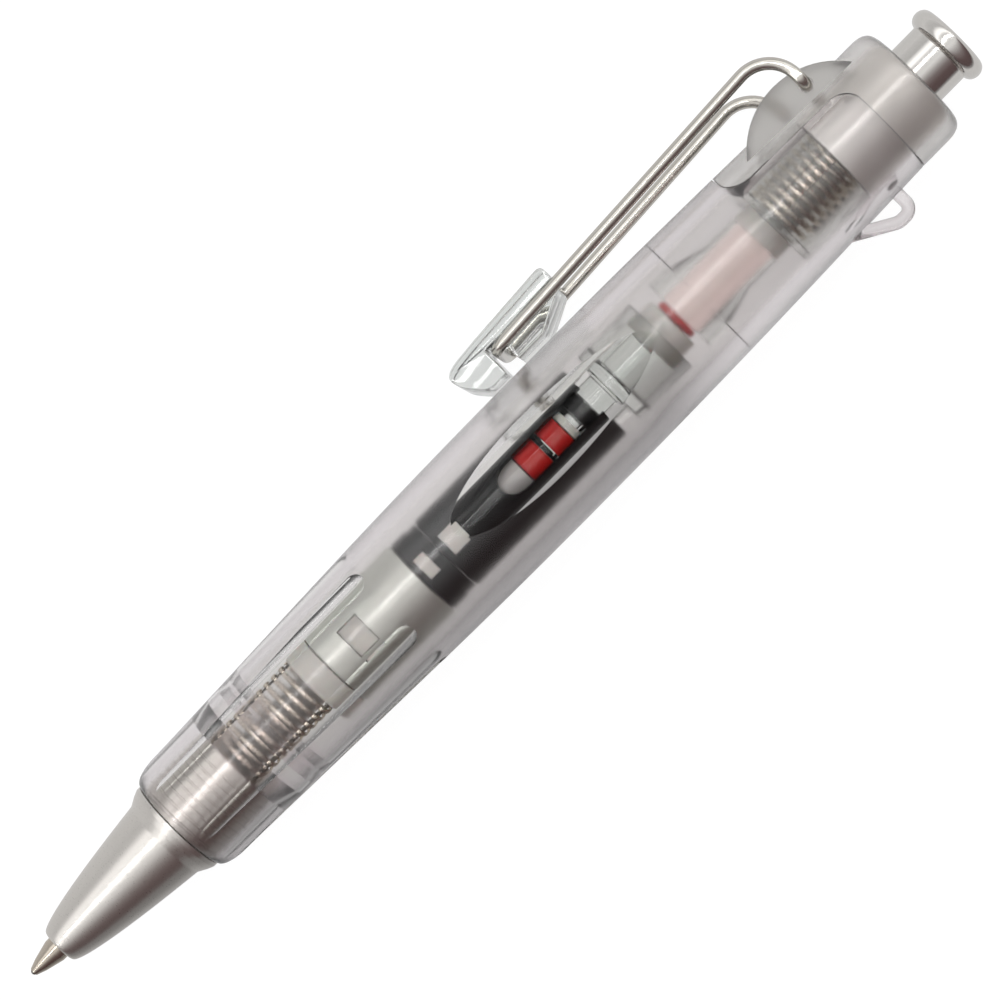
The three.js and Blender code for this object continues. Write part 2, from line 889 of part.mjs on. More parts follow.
// The clip's wire from one turned-in end, over the bend, round the cross bar and back.
function clipRoute() {
  const nearX = capFront + nearPivotX;
  const farX = capFront + farPivotX;
  const barX = nearX - wireReach;
  const inner = wireHalfSpan - wireTail - wireRadius;
  const leg = (x, side) => [
    new THREE.Vector3(x, pivotHeight, side * inner),
    new THREE.Vector3(x, pivotHeight, side * wireHalfSpan),
    new THREE.Vector3(x, wireRearHeight, side * wireHalfSpan),
  ];
  const bar = (side) =>
    new THREE.Vector3(barX, wireFrontHeight, side * wireHalfSpan);
  return roundedRoute(
    [...leg(nearX, 1), bar(1), bar(-1), ...leg(farX, -1).reverse()],
    [wireEndBend, wireBend, wireCorner, wireCorner, wireBend, wireEndBend],
  );
}

function makeClipWire() {
  return wireSolid(clipRoute(), wireRadius, 76);
}

function makeClipPad() {
  const barX = capFront + nearPivotX - wireReach;
  const bottom = bellyRadius + footGap;
  const front = barX - padNoseLength;
  const back = barX + padTailLength;
  const notchFront = barX - padNotch / 2;
  const notchBack = barX + padNotch / 2;
  const notchTop = wireFrontHeight + wireRadius + padGroovePlay;
  const outline = new THREE.Shape();
  outline.moveTo(notchFront, bottom);
  outline.lineTo(notchFront, notchTop);
  outline.lineTo(notchBack, notchTop);
  outline.lineTo(notchBack, bottom + padStep);
  outline.lineTo(back - padHeelLength, bottom + padStep);
  outline.lineTo(back - padCorner, bottom + padHeelRise);
  outline.quadraticCurveTo(
    back,
    bottom + padHeelRise,
    back,
    bottom + padHeelRise + padHeelCorner,
  );
  outline.lineTo(back, padRearHeight - padCorner);
  outline.quadraticCurveTo(
    back,
    padRearHeight,
    back - padCorner,
    padRearHeight,
  );
  outline.lineTo(barX - padBrow, padFrontHeight + padStep);
  outline.quadraticCurveTo(
    front,
    padFrontHeight,
    front,
    padFrontHeight - padNoseDrop,
  );
  outline.quadraticCurveTo(
    front,
    bottom + padChin,
    notchFront - padFootLength,
    bottom,
  );
  const block = new THREE.ExtrudeGeometry(outline, {
    depth: 2 * padHalfWidth,
    bevelEnabled: false,
    curveSegments: 5,
  });
  block.translate(0, 0, -padHalfWidth);
  const groove = wireSolid(clipRoute(), wireRadius + padGroovePlay, 76);
  return solidOf(block).subtract(groove);
}

function makeSpringSeat() {
  return ringSolid(seatFront, seatFront + seatLength, tubeHole, seatRadius);
}

// A straight-sided cut across the pen towards the window, for a slot or a window in a sleeve.
function crossCut(x0, x1, width, reach, degrees) {
  const box = new THREE.BoxGeometry(x1 - x0, reach, width);
  box.translate((x0 + x1) / 2, reach / 2, 0);
  box.rotateX(THREE.MathUtils.degToRad(degrees));
  return solidOf(box);
}

function makeFrontSleeve() {
  const x0 = sleeveFront + latchSetback;
  return ringSolid(
    sleeveFront,
    sleeveFront + sleeveLength,
    sleeveBore,
    sleeveRadius,
    28,
  )
    .subtract(crossCut(x0, x0 + latchLength, latchWidth, 2 * sleeveRadius, 90))
    .subtract(
      crossCut(x0, x0 + latchLength, latchWidth, 2 * sleeveRadius, -90),
    );
}

function makeSleeveCore() {
  const x0 = sleeveFront + latchSetback + slip;
  const x1 = x0 + latchLength - 2 * slip;
  const front = sleeveFront + coreSetback;
  const coreLength = sleeveLength - 2 * coreSetback;
  const core = ringSolid(front, front + coreLength, tubeHole, coreRadius, 32);
  const nubs = [90, -90].map((degrees) =>
    crossCut(x0, x1, latchWidth - 2 * slip, coreRadius + latchRise, degrees),
  );
  const hole = turned([
    [front - over, 0],
    [front - over, tubeHole],
    [front + coreLength + over, tubeHole],
    [front + coreLength + over, 0],
  ]);
  return core.add(nubs[0]).add(nubs[1]).subtract(hole);
}

function makeCouplerRing() {
  const back = couplerFront + couplerLength;
  const groove = couplerRadius - couplerGroove;
  return turned(
    [
      [couplerFront, tubeHole],
      [back, tubeHole],
      [back, groove],
      [back - couplerGrooveLength, groove],
      [back - couplerGrooveLength, couplerRadius],
      [couplerFront, couplerRadius],
    ],
    28,
  );
}

function makeValveSleeve() {
  let sleeve = ringSolid(valveFront, valveRear, valveBore, couplerRadius, 32);
  const slotFront = valveRear - valveSlotLength;
  const half = valveSlotWidth / 2;
  for (const degrees of [90, -90]) {
    const peg = radialPeg(
      slotFront + half,
      degrees,
      half,
      over,
      2 * couplerRadius,
      20,
    );
    sleeve = sleeve
      .subtract(peg)
      .subtract(
        crossCut(
          slotFront + half,
          valveRear + over,
          valveSlotWidth,
          2 * couplerRadius,
          degrees,
        ),
      );
  }
  return sleeve;
}

function makeInletPlug() {
  const front = plugRear - plugLength;
  return turned([
    [front, tubeHole],
    [plugRear, tubeHole],
    [plugRear, valveBodyRadius],
    [front + plugTaper, valveBodyRadius],
    [front + plugLip, tubeHole + plugRimWall],
    [front, tubeHole + plugNoseWall],
  ]);
}

// A soft seal: a ring with a rounded rim.
function sealRing(front, back, inner, outer) {
  return turned([
    [front, inner],
    [back, inner],
    [back, outer - sealRound],
    [back - sealRound, outer],
    [front + sealRound, outer],
    [front, outer - sealRound],
  ]);
}

function makeFrontSeal() {
  return sealRing(
    frontSealRear - frontSealLength,
    frontSealRear,
    tubeHole,
    valveBodyRadius,
  );
}

function makeRearSeal() {
  return sealRing(
    rearSealFront,
    rearSealFront + rearSealLength,
    stemRadius + slip,
    valveBodyRadius,
  );
}

function makeSealSpacer() {
  return ringSolid(
    spacerFront,
    spacerFront + spacerLength,
    stemRadius + slip,
    valveBodyRadius,
  );
}

function makeRetainingRing() {
  return ringSolid(
    ringFront,
    ringFront + ringLength,
    stemRadius + slip,
    valveBodyRadius,
  );
}

function makeAirCylinder() {
  const bore = cylinderRadius - cylinderWall;
  return turned(
    [
      [rearSealFront + stemSetback, 0],
      [rearSealFront + stemSetback, stemRadius],
      [bossFront, stemRadius],
      [bossFront, valveBodyRadius],
      [cylinderFront, valveBodyRadius],
      [cylinderFront + cylinderChamfer, cylinderRadius],
      [cylinderRear, cylinderRadius],
      [cylinderRear, bore],
      [cylinderFront + cylinderFloor, bore],
      [cylinderFront + cylinderFloor, 0],
    ],
    28,
  );
}

function makePistonHead() {
  const bore = cylinderRadius - cylinderWall;
  const front = pistonRear - pistonLength;
  return turned([
    [front, rodPilotRadius + slip],
    [pistonRear, rodPilotRadius + slip],
    [pistonRear, pistonHeadRadius],
    [cylinderRear, pistonHeadRadius],
    [cylinderRear - pistonStep, bore - slip],
    [front, bore - slip],
  ]);
}

function makeRodSeal() {
  return ringSolid(
    rodSealFront,
    rodSealFront + rodSealLength,
    rodPilotRadius + slip,
    pistonHeadRadius,
  );
}

function makePistonRod() {
  const front = pistonRear - pistonLength + pistonStep;
  return turned([
    [front, 0],
    [front, rodPilotRadius],
    [rodFront, rodPilotRadius],
    [rodFront, rodRadius],
    [rodRear, rodRadius],
    [rodRear, rodPilotRadius],
    [rodRear + rodPilotLength, rodPilotRadius],
    [rodRear + rodPilotLength, 0],
  ]);
}

function makeRearHousing() {
  return turned([
    [rodFront, rodRadius + slip],
    [rodRear, rodRadius + slip],
    [rodRear, housingEndRadius],
    [rodRear - housingTailLength, housingEndRadius],
    [rodFront + housingCollarLength, housingRadius],
    [rodFront, housingRadius],
  ]);
}

function makeCamRotor() {
  const hole = rodPilotRadius + slip;
  return crowned(
    [
      [rotorFront, hole],
      [rotorFront, rotorRadius],
      [rotorRear, rotorRadius, true],
      [rotorRear, hole, true],
    ],
    -toothHeight,
  );
}

function makePushRod() {
  const hole = rodPilotRadius + slip;
  const mouth = rotorRear + toothHeight + toothPlay;
  const depth = rodRear + rodPilotLength + buttFit;
  const back = buttonInner + pushRodInButton;
  return crowned(
    [
      [mouth, hole, true],
      [mouth, pushRodRadius, true],
      [back, pushRodRadius],
      [back, 0],
      [depth, 0],
      [depth, hole],
    ],
    -toothHeight,
  );
}

function makeGuideTube() {
  let guide = turned(
    [
      [guideFront, guideLipRadius],
      [guideFront + guideLip, guideLipRadius],
      [guideFront + guideLip, guideBore],
      [guideRear, guideBore],
      [guideRear, guideRadius],
      [guideFront, guideRadius],
    ],
    28,
  );
  for (let i = 0; i < guideSlots; i++)
    guide = guide.subtract(
      crossCut(
        guideRear - guideSlotLength,
        guideRear + over,
        guideSlotWidth,
        2 * guideRadius,
        90 + (360 * i) / guideSlots,
      ),
    );
  return guide;
}

function makeKnockBush() {
  const shoulder = bushRear - bushShoulder;
  const narrow = buttonRadius + runFit;
  return turned(
    [
      [bushFront, bushBore],
      [shoulder, bushBore],
      [shoulder, narrow],
      [bushRear, narrow],
      [bushRear, guideRadius],
      [bushFront, guideRadius],
    ],
    28,
  );
}

function makeButton() {
  const profile = [
    [buttonInner, pushRodRadius + slip],
    [buttonRear - buttonRoof, pushRodRadius + slip],
    [buttonRear - buttonRoof, 0],
    [buttonRear, 0],
    [buttonRear, buttonFaceRadius],
  ];
  const rim = buttonHeadRadius - buttonFaceRadius;
  const middle = buttonRear - buttonHeadLength / 2;
  for (const a of steps(Math.PI / 6, Math.PI, 5))
    profile.push([
      middle + (buttonHeadLength / 2) * Math.cos(a),
      buttonFaceRadius + rim * Math.sin(a),
    ]);
  profile.push(
    [buttonHeadFront, buttonRadius],
    [buttonInner + buttonFlangeLength, buttonRadius],
    [buttonInner + buttonFlangeLength, buttonFlangeRadius],
    [buttonInner, buttonFlangeRadius],
  );
  return turned(profile, 28);
}

const finishes = {
  frostedClear: { color: 0xcfcbc8, roughness: 0.35, metalness: 0 },
  clear: { color: 0xdfe3e6, roughness: 0.1, metalness: 0 },
  satinSilver: { color: 0xb9b6b2, roughness: 0.3, metalness: 1 },
  springSteel: { color: 0x8f8b86, roughness: 0.25, metalness: 1 },
  tipSteel: { color: 0xaaa59c, roughness: 0.2, metalness: 1 },
  pearlWhite: { color: 0xd4d1cc, roughness: 0.4, metalness: 0.2 },
  whitePlastic: { color: 0xe6e2db, roughness: 0.45, metalness: 0 },
  blackPlastic: { color: 0x1d1d1f, roughness: 0.45, metalness: 0 },
  redRubber: { color: 0xa32f2f, roughness: 0.6, metalness: 0 },
  pinkClear: { color: 0xd9c4c2, roughness: 0.2, metalness: 0 },
};

const pieces = [
  ["writing_ball", makeWritingBall(), "tipSteel"],
  ["tip_socket", makeTipSocket(), "tipSteel"],
  ["tip_adapter", makeTipAdapter(), "whitePlastic"],
  ["refill_tube", makeRefillTube(), "clear"],
  ["nose_cone", makeNoseCone(), "satinSilver"],
  ["barrel", makeBarrel(), "frostedClear"],
  ["tail_cap", makeTailCap(), "frostedClear"],
  [
    "front_spring",
    woundSpring(
      "front_spring",
      springFront,
      frontSpringLength,
      frontSpringCurls,
    ),
    "springSteel",
  ],
  ["spring_seat", makeSpringSeat(), "whitePlastic"],
  ["front_sleeve", makeFrontSleeve(), "pearlWhite"],
  ["sleeve_core", makeSleeveCore(), "whitePlastic"],
  ["coupler_ring", makeCouplerRing(), "blackPlastic"],
  ["valve_sleeve", makeValveSleeve(), "blackPlastic"],
  ["inlet_plug", makeInletPlug(), "clear"],
  ["front_seal", makeFrontSeal(), "redRubber"],
  ["rear_seal", makeRearSeal(), "redRubber"],
  ["seal_spacer", makeSealSpacer(), "whitePlastic"],
  ["retaining_ring", makeRetainingRing(), "blackPlastic"],
  ["air_cylinder", makeAirCylinder(), "clear"],
  ["piston_head", makePistonHead(), "whitePlastic"],
  ["rod_seal", makeRodSeal(), "redRubber"],
  ["piston_rod", makePistonRod(), "pinkClear"],
  ["rear_housing", makeRearHousing(), "clear"],
  ["cam_rotor", makeCamRotor(), "whitePlastic"],
  ["push_rod", makePushRod(), "whitePlastic"],
  ["guide_tube", makeGuideTube(), "clear"],
  [
    "rear_spring",
    woundSpring(
      "rear_spring",
      rearSpringFront,
      rearSpringLength,
      rearSpringCurls,
    ),
    "springSteel",
  ],
  ["knock_bush", makeKnockBush(), "satinSilver"],
  ["button", makeButton(), "satinSilver"],
  ["clip_wire", makeClipWire(), "springSteel"],
  ["clip_pad", makeClipPad(), "clear"],
];

const pen = new THREE.Group();
for (const [name, solid, finish] of pieces) {
  const { vertProperties, triVerts } = solid.getMesh();
  const geometry = new THREE.BufferGeometry();
  geometry.setAttribute(
    "position",
    new THREE.Float32BufferAttribute(vertProperties, 3),
  );
  geometry.setIndex(new THREE.Uint32BufferAttribute(triVerts, 1));
  geometry.computeVertexNormals();
  const material = new THREE.MeshStandardMaterial({
    ...finishes[finish],
    flatShading: true,
  });
  const mesh = new THREE.Mesh(geometry, material);
  mesh.name = name;
  pen.add(mesh);
}

// Roll the pen onto its barrel and clip, and stand the middle of its box on the origin.
pen.rotation.x = -THREE.MathUtils.degToRad(rollAngle);
pen.updateMatrixWorld(true);
const reach = new THREE.Box3().setFromObject(pen, true);
const middle = reach.getCenter(new THREE.Vector3());
pen.position.set(-middle.x, -middle.y, -reach.min.z);

const part = new THREE.Group();
part.add(pen);

export default part;
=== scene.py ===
# A pressurized ballpoint pen with a clear frosted body, lying clicked out on a white table.
# Pieces are drawn in the pen's own millimetres: x back from the writing ball, h towards the clip, w up out of
# the window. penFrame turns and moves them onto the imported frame.
import json
import math

import bmesh
import bpy
from mathutils import Matrix, Vector


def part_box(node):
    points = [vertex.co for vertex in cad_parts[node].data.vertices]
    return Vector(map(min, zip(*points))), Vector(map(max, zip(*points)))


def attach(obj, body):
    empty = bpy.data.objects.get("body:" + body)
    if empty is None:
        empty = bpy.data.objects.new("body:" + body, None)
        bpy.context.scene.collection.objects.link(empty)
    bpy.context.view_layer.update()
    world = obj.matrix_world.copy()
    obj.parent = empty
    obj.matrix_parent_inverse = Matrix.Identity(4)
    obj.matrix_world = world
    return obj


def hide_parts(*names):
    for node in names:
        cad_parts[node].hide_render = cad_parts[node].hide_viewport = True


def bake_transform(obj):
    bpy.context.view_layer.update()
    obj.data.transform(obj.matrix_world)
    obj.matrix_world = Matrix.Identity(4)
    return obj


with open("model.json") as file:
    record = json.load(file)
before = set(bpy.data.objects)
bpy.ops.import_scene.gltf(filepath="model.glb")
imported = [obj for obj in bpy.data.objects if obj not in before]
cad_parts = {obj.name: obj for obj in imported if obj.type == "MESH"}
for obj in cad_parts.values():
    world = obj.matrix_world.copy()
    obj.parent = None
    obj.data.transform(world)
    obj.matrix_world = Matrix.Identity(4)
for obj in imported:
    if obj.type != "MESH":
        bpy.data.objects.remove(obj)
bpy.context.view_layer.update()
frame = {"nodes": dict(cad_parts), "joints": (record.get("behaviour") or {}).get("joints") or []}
scene = bpy.context.scene
print("frame loaded:", len(frame["nodes"]), "nodes")

joint = {j["name"]: j for j in frame["joints"]}
axisPoint = Vector(joint["ratchet_turn"]["pos_m"])  # a point on the pen's axis
windowWay = -Vector(joint["clip_lift"]["axis"]).normalized()
alongWay = Vector((1, 0, 0))
clipWay = windowWay.cross(alongWay)
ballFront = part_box("writing_ball")[0].x
mm = 0.001

penFrame = Matrix.Translation((ballFront, axisPoint.y, axisPoint.z)) @ Matrix(
    [[alongWay[i] * mm, clipWay[i] * mm, windowWay[i] * mm, 0] for i in range(3)] + [[0, 0, 0, 1]]
)


def linear(hexColour):
    channels = [int(hexColour[i : i + 2], 16) / 255 for i in (1, 3, 5)]
    return tuple(c / 12.92 if c <= 0.04045 else ((c + 0.055) / 1.055) ** 2.4 for c in channels) + (1.0,)


# Adds a node with its settings, and links or sets its inputs by name or number.
def addNode(tree, kind, inputs=None, **settings):
    node = tree.nodes.new(kind)
    for name, value in settings.items():
        setattr(node, name, value)
    for key, value in (inputs or {}).items():
        if isinstance(value, bpy.types.NodeSocket):
            tree.links.new(value, node.inputs[key])
        else:
            node.inputs[key].default_value = value
    return node


# Fills a colour ramp with greys, each given by its place from 0 to 1, its level and its warmth.
def fillRamp(colourRamp, stops):
    while len(colourRamp.elements) < len(stops):
        colourRamp.elements.new(0.5)
    for i, (spot, level, warmth) in enumerate(stops):
        colourRamp.elements[i].position = spot
        colourRamp.elements[i].color = (level, level * (1 - warmth), level * (1 - warmth), 1)


# Materials. Each starts bare: one Principled shader, its fixed settings and Object coordinates.
def startMaterial(name, **sockets):
    material = bpy.data.materials.new(name)
    material.use_nodes = True
    tree = material.node_tree
    tree.nodes.clear()
    shader = addNode(tree, "ShaderNodeBsdfPrincipled")
    for key, value in sockets.items():
        shader.inputs[key.replace("_", " ")].default_value = value
    addNode(tree, "ShaderNodeOutputMaterial", {"Surface": shader.outputs["BSDF"]})
    place = addNode(tree, "ShaderNodeTexCoord").outputs["Object"]
    return material, tree, shader, place


# Maps a value from one range to another.
def mapped(tree, value, low, high, toLow=0.0, toHigh=1.0):
    inputs = {"Value": value, "From Min": low, "From Max": high, "To Min": toLow, "To Max": toHigh}
    return addNode(tree, "ShaderNodeMapRange", inputs).outputs["Result"]


# Noise in patches of a size in millimetres, drawn out or closed up along each axis.
def noiseOf(tree, place, patch, detail, stretch):
    spread = addNode(tree, "ShaderNodeMapping", {"Vector": place, "Scale": stretch}).outputs["Vector"]
    inputs = {"Vector": spread, "Scale": 1 / (patch * mm), "Detail": detail}
    return addNode(tree, "ShaderNodeTexNoise", inputs).outputs["Fac"]


noiseSpan = (0.3, 0.7)  # nearly all of the noise lies between these


# Lets the colour and the roughness wander between two values each.
def varied(tree, shader, place, colours, roughness, patch, stretch):
    noise = noiseOf(tree, place, patch, 3.0, stretch)
    tree.links.new(mapped(tree, noise, *noiseSpan, *roughness), shader.inputs["Roughness"])
    ends = {"Factor": noise, 6: linear(colours[0]), 7: linear(colours[1])}
    mix = addNode(tree, "ShaderNodeMix", ends, data_type="RGBA")
    tree.links.new(mix.outputs[2], shader.inputs["Base Color"])


# A fine relief: grains that stand up by a depth in millimetres.
def relief(tree, shader, place, grain, depth, stretch=(1, 1, 1)):
    height = noiseOf(tree, place, grain, 2.0, stretch)
    bump = addNode(tree, "ShaderNodeBump", {"Height": height, "Distance": depth * mm, "Strength": 1.0})
    tree.links.new(bump.outputs["Normal"], shader.inputs["Normal"])


# A material from two colours, a range of roughness and the size of its patches, with a fine relief where its
# grain and depth are given; all sizes are in millimetres.
def finishOf(name, colours, roughness, patch, stretch=(1, 1, 1), grain=None, **sockets):
    material, tree, shader, place = startMaterial(name, **sockets)
    varied(tree, shader, place, colours, roughness, patch, stretch)
    if grain:
        relief(tree, shader, place, *grain)
    return material


# The barrel's frosted polycarbonate: its fine grain blurs what lies behind it and gives a soft sheen.
clear = {"Transmission_Weight": 1.0, "IOR": 1.58}
frosted = finishOf(
    "frostedPolycarbonate", ("#F2ECED", "#F7F2F3"), (0.19, 0.24), 2.5, grain=(0.2, 0.0008), **clear
)

# The tail cap's plastic, drawn a little milkier.
milkyFrosted = finishOf(
    "milkyPolycarbonate", ("#F1EEEC", "#F7F4F2"), (0.17, 0.22), 2.5, grain=(0.2, 0.0008),
    Transmission_Weight=0.92, IOR=1.58,
)

# The clear grooves and bore, with a weakened reflection so that the pieces inside look dark enough.
polished = finishOf(
    "polishedPolycarbonate", ("#F4F4F2", "#FAFAF8"), (0.02, 0.05), 3.0, Specular_Tint=linear("#909090"),
    **clear,
)

# The windows, with their reflection weakened further.
windowClear = finishOf(
    "windowPolycarbonate", ("#F2F2F1", "#F8F8F7"), (0.02, 0.05), 3.0, Specular_Tint=linear("#4A4A4A"),
    **clear,
)

# The hump, rougher and greyer than the rest of the cap's plastic.
coarseFrosted = finishOf(
    "coarsePolycarbonate", ("#CAC7C3", "#D2CFCB"), (0.36, 0.42), 2.5, grain=(0.2, 0.001), **clear
)

# Clear styrene, slightly wavy: the clip's pad and the cylinder.
clearStyrene = finishOf(
    "clearStyrene", ("#EEF1EF", "#F7F8F6"), (0.03, 0.09), 2.0, grain=(2.0, 0.006, (0.4, 1, 1)),
    Transmission_Weight=1.0, IOR=1.57,
)

# The same styrene, milky: the plug in the valve.
milkyStyrene = finishOf(
    "milkyStyrene", ("#E8E1DF", "#F2EDEB"), (0.08, 0.14), 1.0, Transmission_Weight=0.3, IOR=1.57
)

# Satin chrome: broad soft highlights with a trace of turning round it.
satinChrome = finishOf(
    "satinChrome", ("#C9C5C0", "#D6D2CD"), (0.27, 0.34), 0.35, (6, 1, 1), (0.05, 0.0004), Metallic=1.0
)

# The bush: part metal and part matt, for the soft light seen on it through the frosted wall.
mattAluminium = finishOf(
    "etchedAluminium", ("#ECEAE6", "#F4F3F0"), (0.36, 0.44), 0.3, (8, 1, 1), Metallic=0.4
)

# Bright chrome, a little brighter than the nose: the button.
brightChrome = finishOf(
    "brightChrome", ("#CFCCC8", "#DEDBD7"), (0.13, 0.2), 0.3, (8, 1, 1), (0.08, 0.0004, (5, 1, 1)),
    Metallic=1.0,
)

# Drawn stainless wire, with faint lines along it.
drawnWire = finishOf(
    "drawnStainlessWire", ("#C2BEB6", "#D3CFC8"), (0.17, 0.25), 0.25, (0.08, 1, 1),
    (0.12, 0.0006, (0.05, 1, 1)), Metallic=1.0,
)

# Spring wire with a brown tint.
temperedWire = finishOf(
    "temperedSpringWire", ("#CBBFB0", "#EAE3D9"), (0.22, 0.32), 0.6, grain=(0.15, 0.0008), Metallic=1.0
)

# The turned metal point of the refill.
nickelSilver = finishOf(
    "turnedNickelSilver", ("#B3A99C", "#C9C0B4"), (0.14, 0.24), 0.25, (8, 1, 1),
    (0.06, 0.0006, (6, 0.3, 0.3)), Metallic=1.0,
)

# The writing ball, ground and lapped.
carbide = finishOf("lappedTungstenCarbide", ("#7F7B76", "#8F8B86"), (0.08, 0.14), 0.1, Metallic=1.0)

# Acetal with a pearl pigment: a pale sleeve with a metallic sheen.
pearlAcetal = finishOf(
    "pearlAcetal", ("#D5D8D1", "#E1E4DE"), (0.38, 0.45), 0.8, grain=(0.1, 0.0006), Metallic=0.75
)

# Natural acetal: slightly waxy white.
whiteAcetal = finishOf(
    "whiteAcetal", ("#E3E1DA", "#EDEBE5"), (0.32, 0.42), 1.0, grain=(0.2, 0.001), IOR=1.48,
    Subsurface_Weight=0.1, Subsurface_Scale=0.4 * mm,
)

# Glossy black plastic, with a low refraction that keeps its gloss dark.
blackAcetal = finishOf("blackAcetal", ("#101012", "#18181A"), (0.1, 0.16), 1.0, IOR=1.42)

# Red silicone rubber: a soft gloss with fine lines round it, and a low refraction that keeps its red deep.
redSilicone = finishOf(
    "redSilicone", ("#C40C0A", "#E21612"), (0.42, 0.5), 0.5, grain=(0.25, 0.006, (3, 0.2, 0.2)), IOR=1.38
)

# Thin clear plastic tinted pink, with a weak painted glow that stands in for the light reaching it from all
# round.
pinkTube = finishOf(
    "tintedPolypropylene", ("#F8E9E7", "#FCF2F0"), (0.3, 0.4), 1.2, grain=(0.3, 0.001), IOR=1.49,
    Transmission_Weight=0.85, Emission_Color=linear("#F2E4E3"), Emission_Strength=0.17,
)

# The milky ink tube, with the dark of the ink behind it.
inkTube = finishOf(
    "milkyPolypropylene", ("#9C9792", "#B0ABA6"), (0.25, 0.35), 1.5, grain=(0.4, 0.001), IOR=1.49
)

materials = [frosted, polished]  # outside and inside of the barrel
capMaterials = [milkyFrosted, polished]
print("materials made:", len([m for m in bpy.data.materials if m.node_tree]))


tiny = 1e-6  # a radius below this is a point on the axis
weld = 1e-5  # points closer than this are made one
overcut = 1  # how far a cutter reaches past what it cuts
nearAxis, farOut = 0.5, 15  # radii well inside and outside of the tail cap


# Shapes. A point at a radius and an angle from the clip's direction towards the window.
def around(x, radius, degrees):
    angle = math.radians(degrees)
    return Vector((x, radius * math.cos(angle), radius * math.sin(angle)))


# Evenly spaced values from one to another, both included.
def ramp(low, high, count):
    return [low + (high - low) * i / count for i in range(count + 1)]


# Rounds the corners of an outline, whose points are (x, y) or (x, y, radius of the corner). A corner takes at
# most a share of the run on each side of it.
def rounded(outline, steps=4, share=0.49):
    smooth = []
    for i, corner in enumerate(outline):
        here = Vector(corner[:2])
        if len(corner) < 3:
            smooth.append(tuple(here))
            continue
        before = Vector(outline[i - 1][:2]) - here
        after = Vector(outline[(i + 1) % len(outline)][:2]) - here
        reach = corner[2] / math.tan(before.angle(after) / 2)
        start = here + before.normalized() * min(reach, share * before.length)
        end = here + after.normalized() * min(reach, share * after.length)
        for u in ramp(0, 1, steps):
            smooth.append(tuple(start * (1 - u) ** 2 + here * 2 * u * (1 - u) + end * u * u))
    return smooth


# Joins rows of points into one closed surface; a row of one point is a pole.
def loft(rings, endless=False, capped=False):
    shape = bmesh.new()
    rows = [[shape.verts.new(p) for p in ring] for ring in rings]
    pairs = list(zip(rows, rows[1:]))
    if endless:
        pairs.append((rows[-1], rows[0]))
    count = max(len(row) for row in rows)
    for a, b in pairs:
        for i in range(count):
            j = (i + 1) % count
            corners = dict.fromkeys([a[i % len(a)], b[i % len(b)], b[j % len(b)], a[j % len(a)]])
            if len(corners) > 2:
                shape.faces.new(list(corners))
    if capped:
        shape.faces.new(rows[0][::-1])
        shape.faces.new(rows[-1])
    bmesh.ops.recalc_face_normals(shape, faces=shape.faces)
    return shape


# Turns a profile of (x, radius) points about the pen's axis.
def turned(profile, sides=96):
    rings = []
    for x, r in profile:
        onAxis = r <= tiny
        rings.append([Vector((x, 0, 0))] if onAxis else [around(x, r, 360 * i / sides) for i in range(sides)])
    return loft(rings, endless=profile[0][1] > tiny)


# A plain ring with sharp edges.
def turnedRing(x0, x1, inner, outer, sides=96):
    return turned([(x0, inner), (x1, inner), (x1, outer), (x0, outer)], sides)


# Sweeps a round section along a route, with rounded ends.
def swept(route, radius, sides=32):
    rings = []
    side = None
    count = len(route)
    headings = [(route[min(i + 1, count - 1)] - route[max(i - 1, 0)]).normalized() for i in range(count)]
    frontEnd = [(-radius * math.sin(a), radius * math.cos(a)) for a in ramp(math.pi / 2, 0, 6)]
    rearEnd = [(radius * math.sin(a), radius * math.cos(a)) for a in ramp(0, math.pi / 2, 6)]
    stations = [(route[0], headings[0], *step) for step in frontEnd]
    stations += [(route[i], headings[i], 0, radius) for i in range(1, count - 1)]
    stations += [(route[-1], headings[-1], *step) for step in rearEnd]
    for point, heading, ahead, size in stations:
        middle = point + heading * ahead
        if side is None:
            side = heading.orthogonal().normalized()
        side = (side - heading * side.dot(heading)).normalized()
        other = heading.cross(side)
        if size < tiny:
            rings.append([middle])
            continue
        angles = ramp(0, 2 * math.pi, sides)[:-1]
        rings.append([middle + (side * math.cos(a) + other * math.sin(a)) * size for a in angles])
    return loft(rings)


# A route of straight runs, cut into even lengths, with true arcs at its corners.
def bentRoute(points, radii, steps=14, spacing=1.2):
    route = [points[0]]
    for i in range(1, len(points) - 1):
        here = points[i]
        back = (points[i - 1] - here).normalized()
        on = (points[i + 1] - here).normalized()
        half = back.angle(on) / 2
        centre = here + (back + on).normalized() * (radii[i - 1] / math.sin(half))
        start = here + back * (radii[i - 1] / math.tan(half)) - centre
        end = here + on * (radii[i - 1] / math.tan(half)) - centre
        turn = start.angle(end)
        for u in ramp(0, 1, steps):
            swing = start * math.sin((1 - u) * turn) + end * math.sin(u * turn)
            route.append(centre + swing / math.sin(turn))
    route.append(points[-1])
    even = []
    for a, b in zip(route, route[1:]):
        pieces = max(1, round((b - a).length / spacing))
        even += [a.lerp(b, i / pieces) for i in range(pieces)]
    return even + [route[-1]]


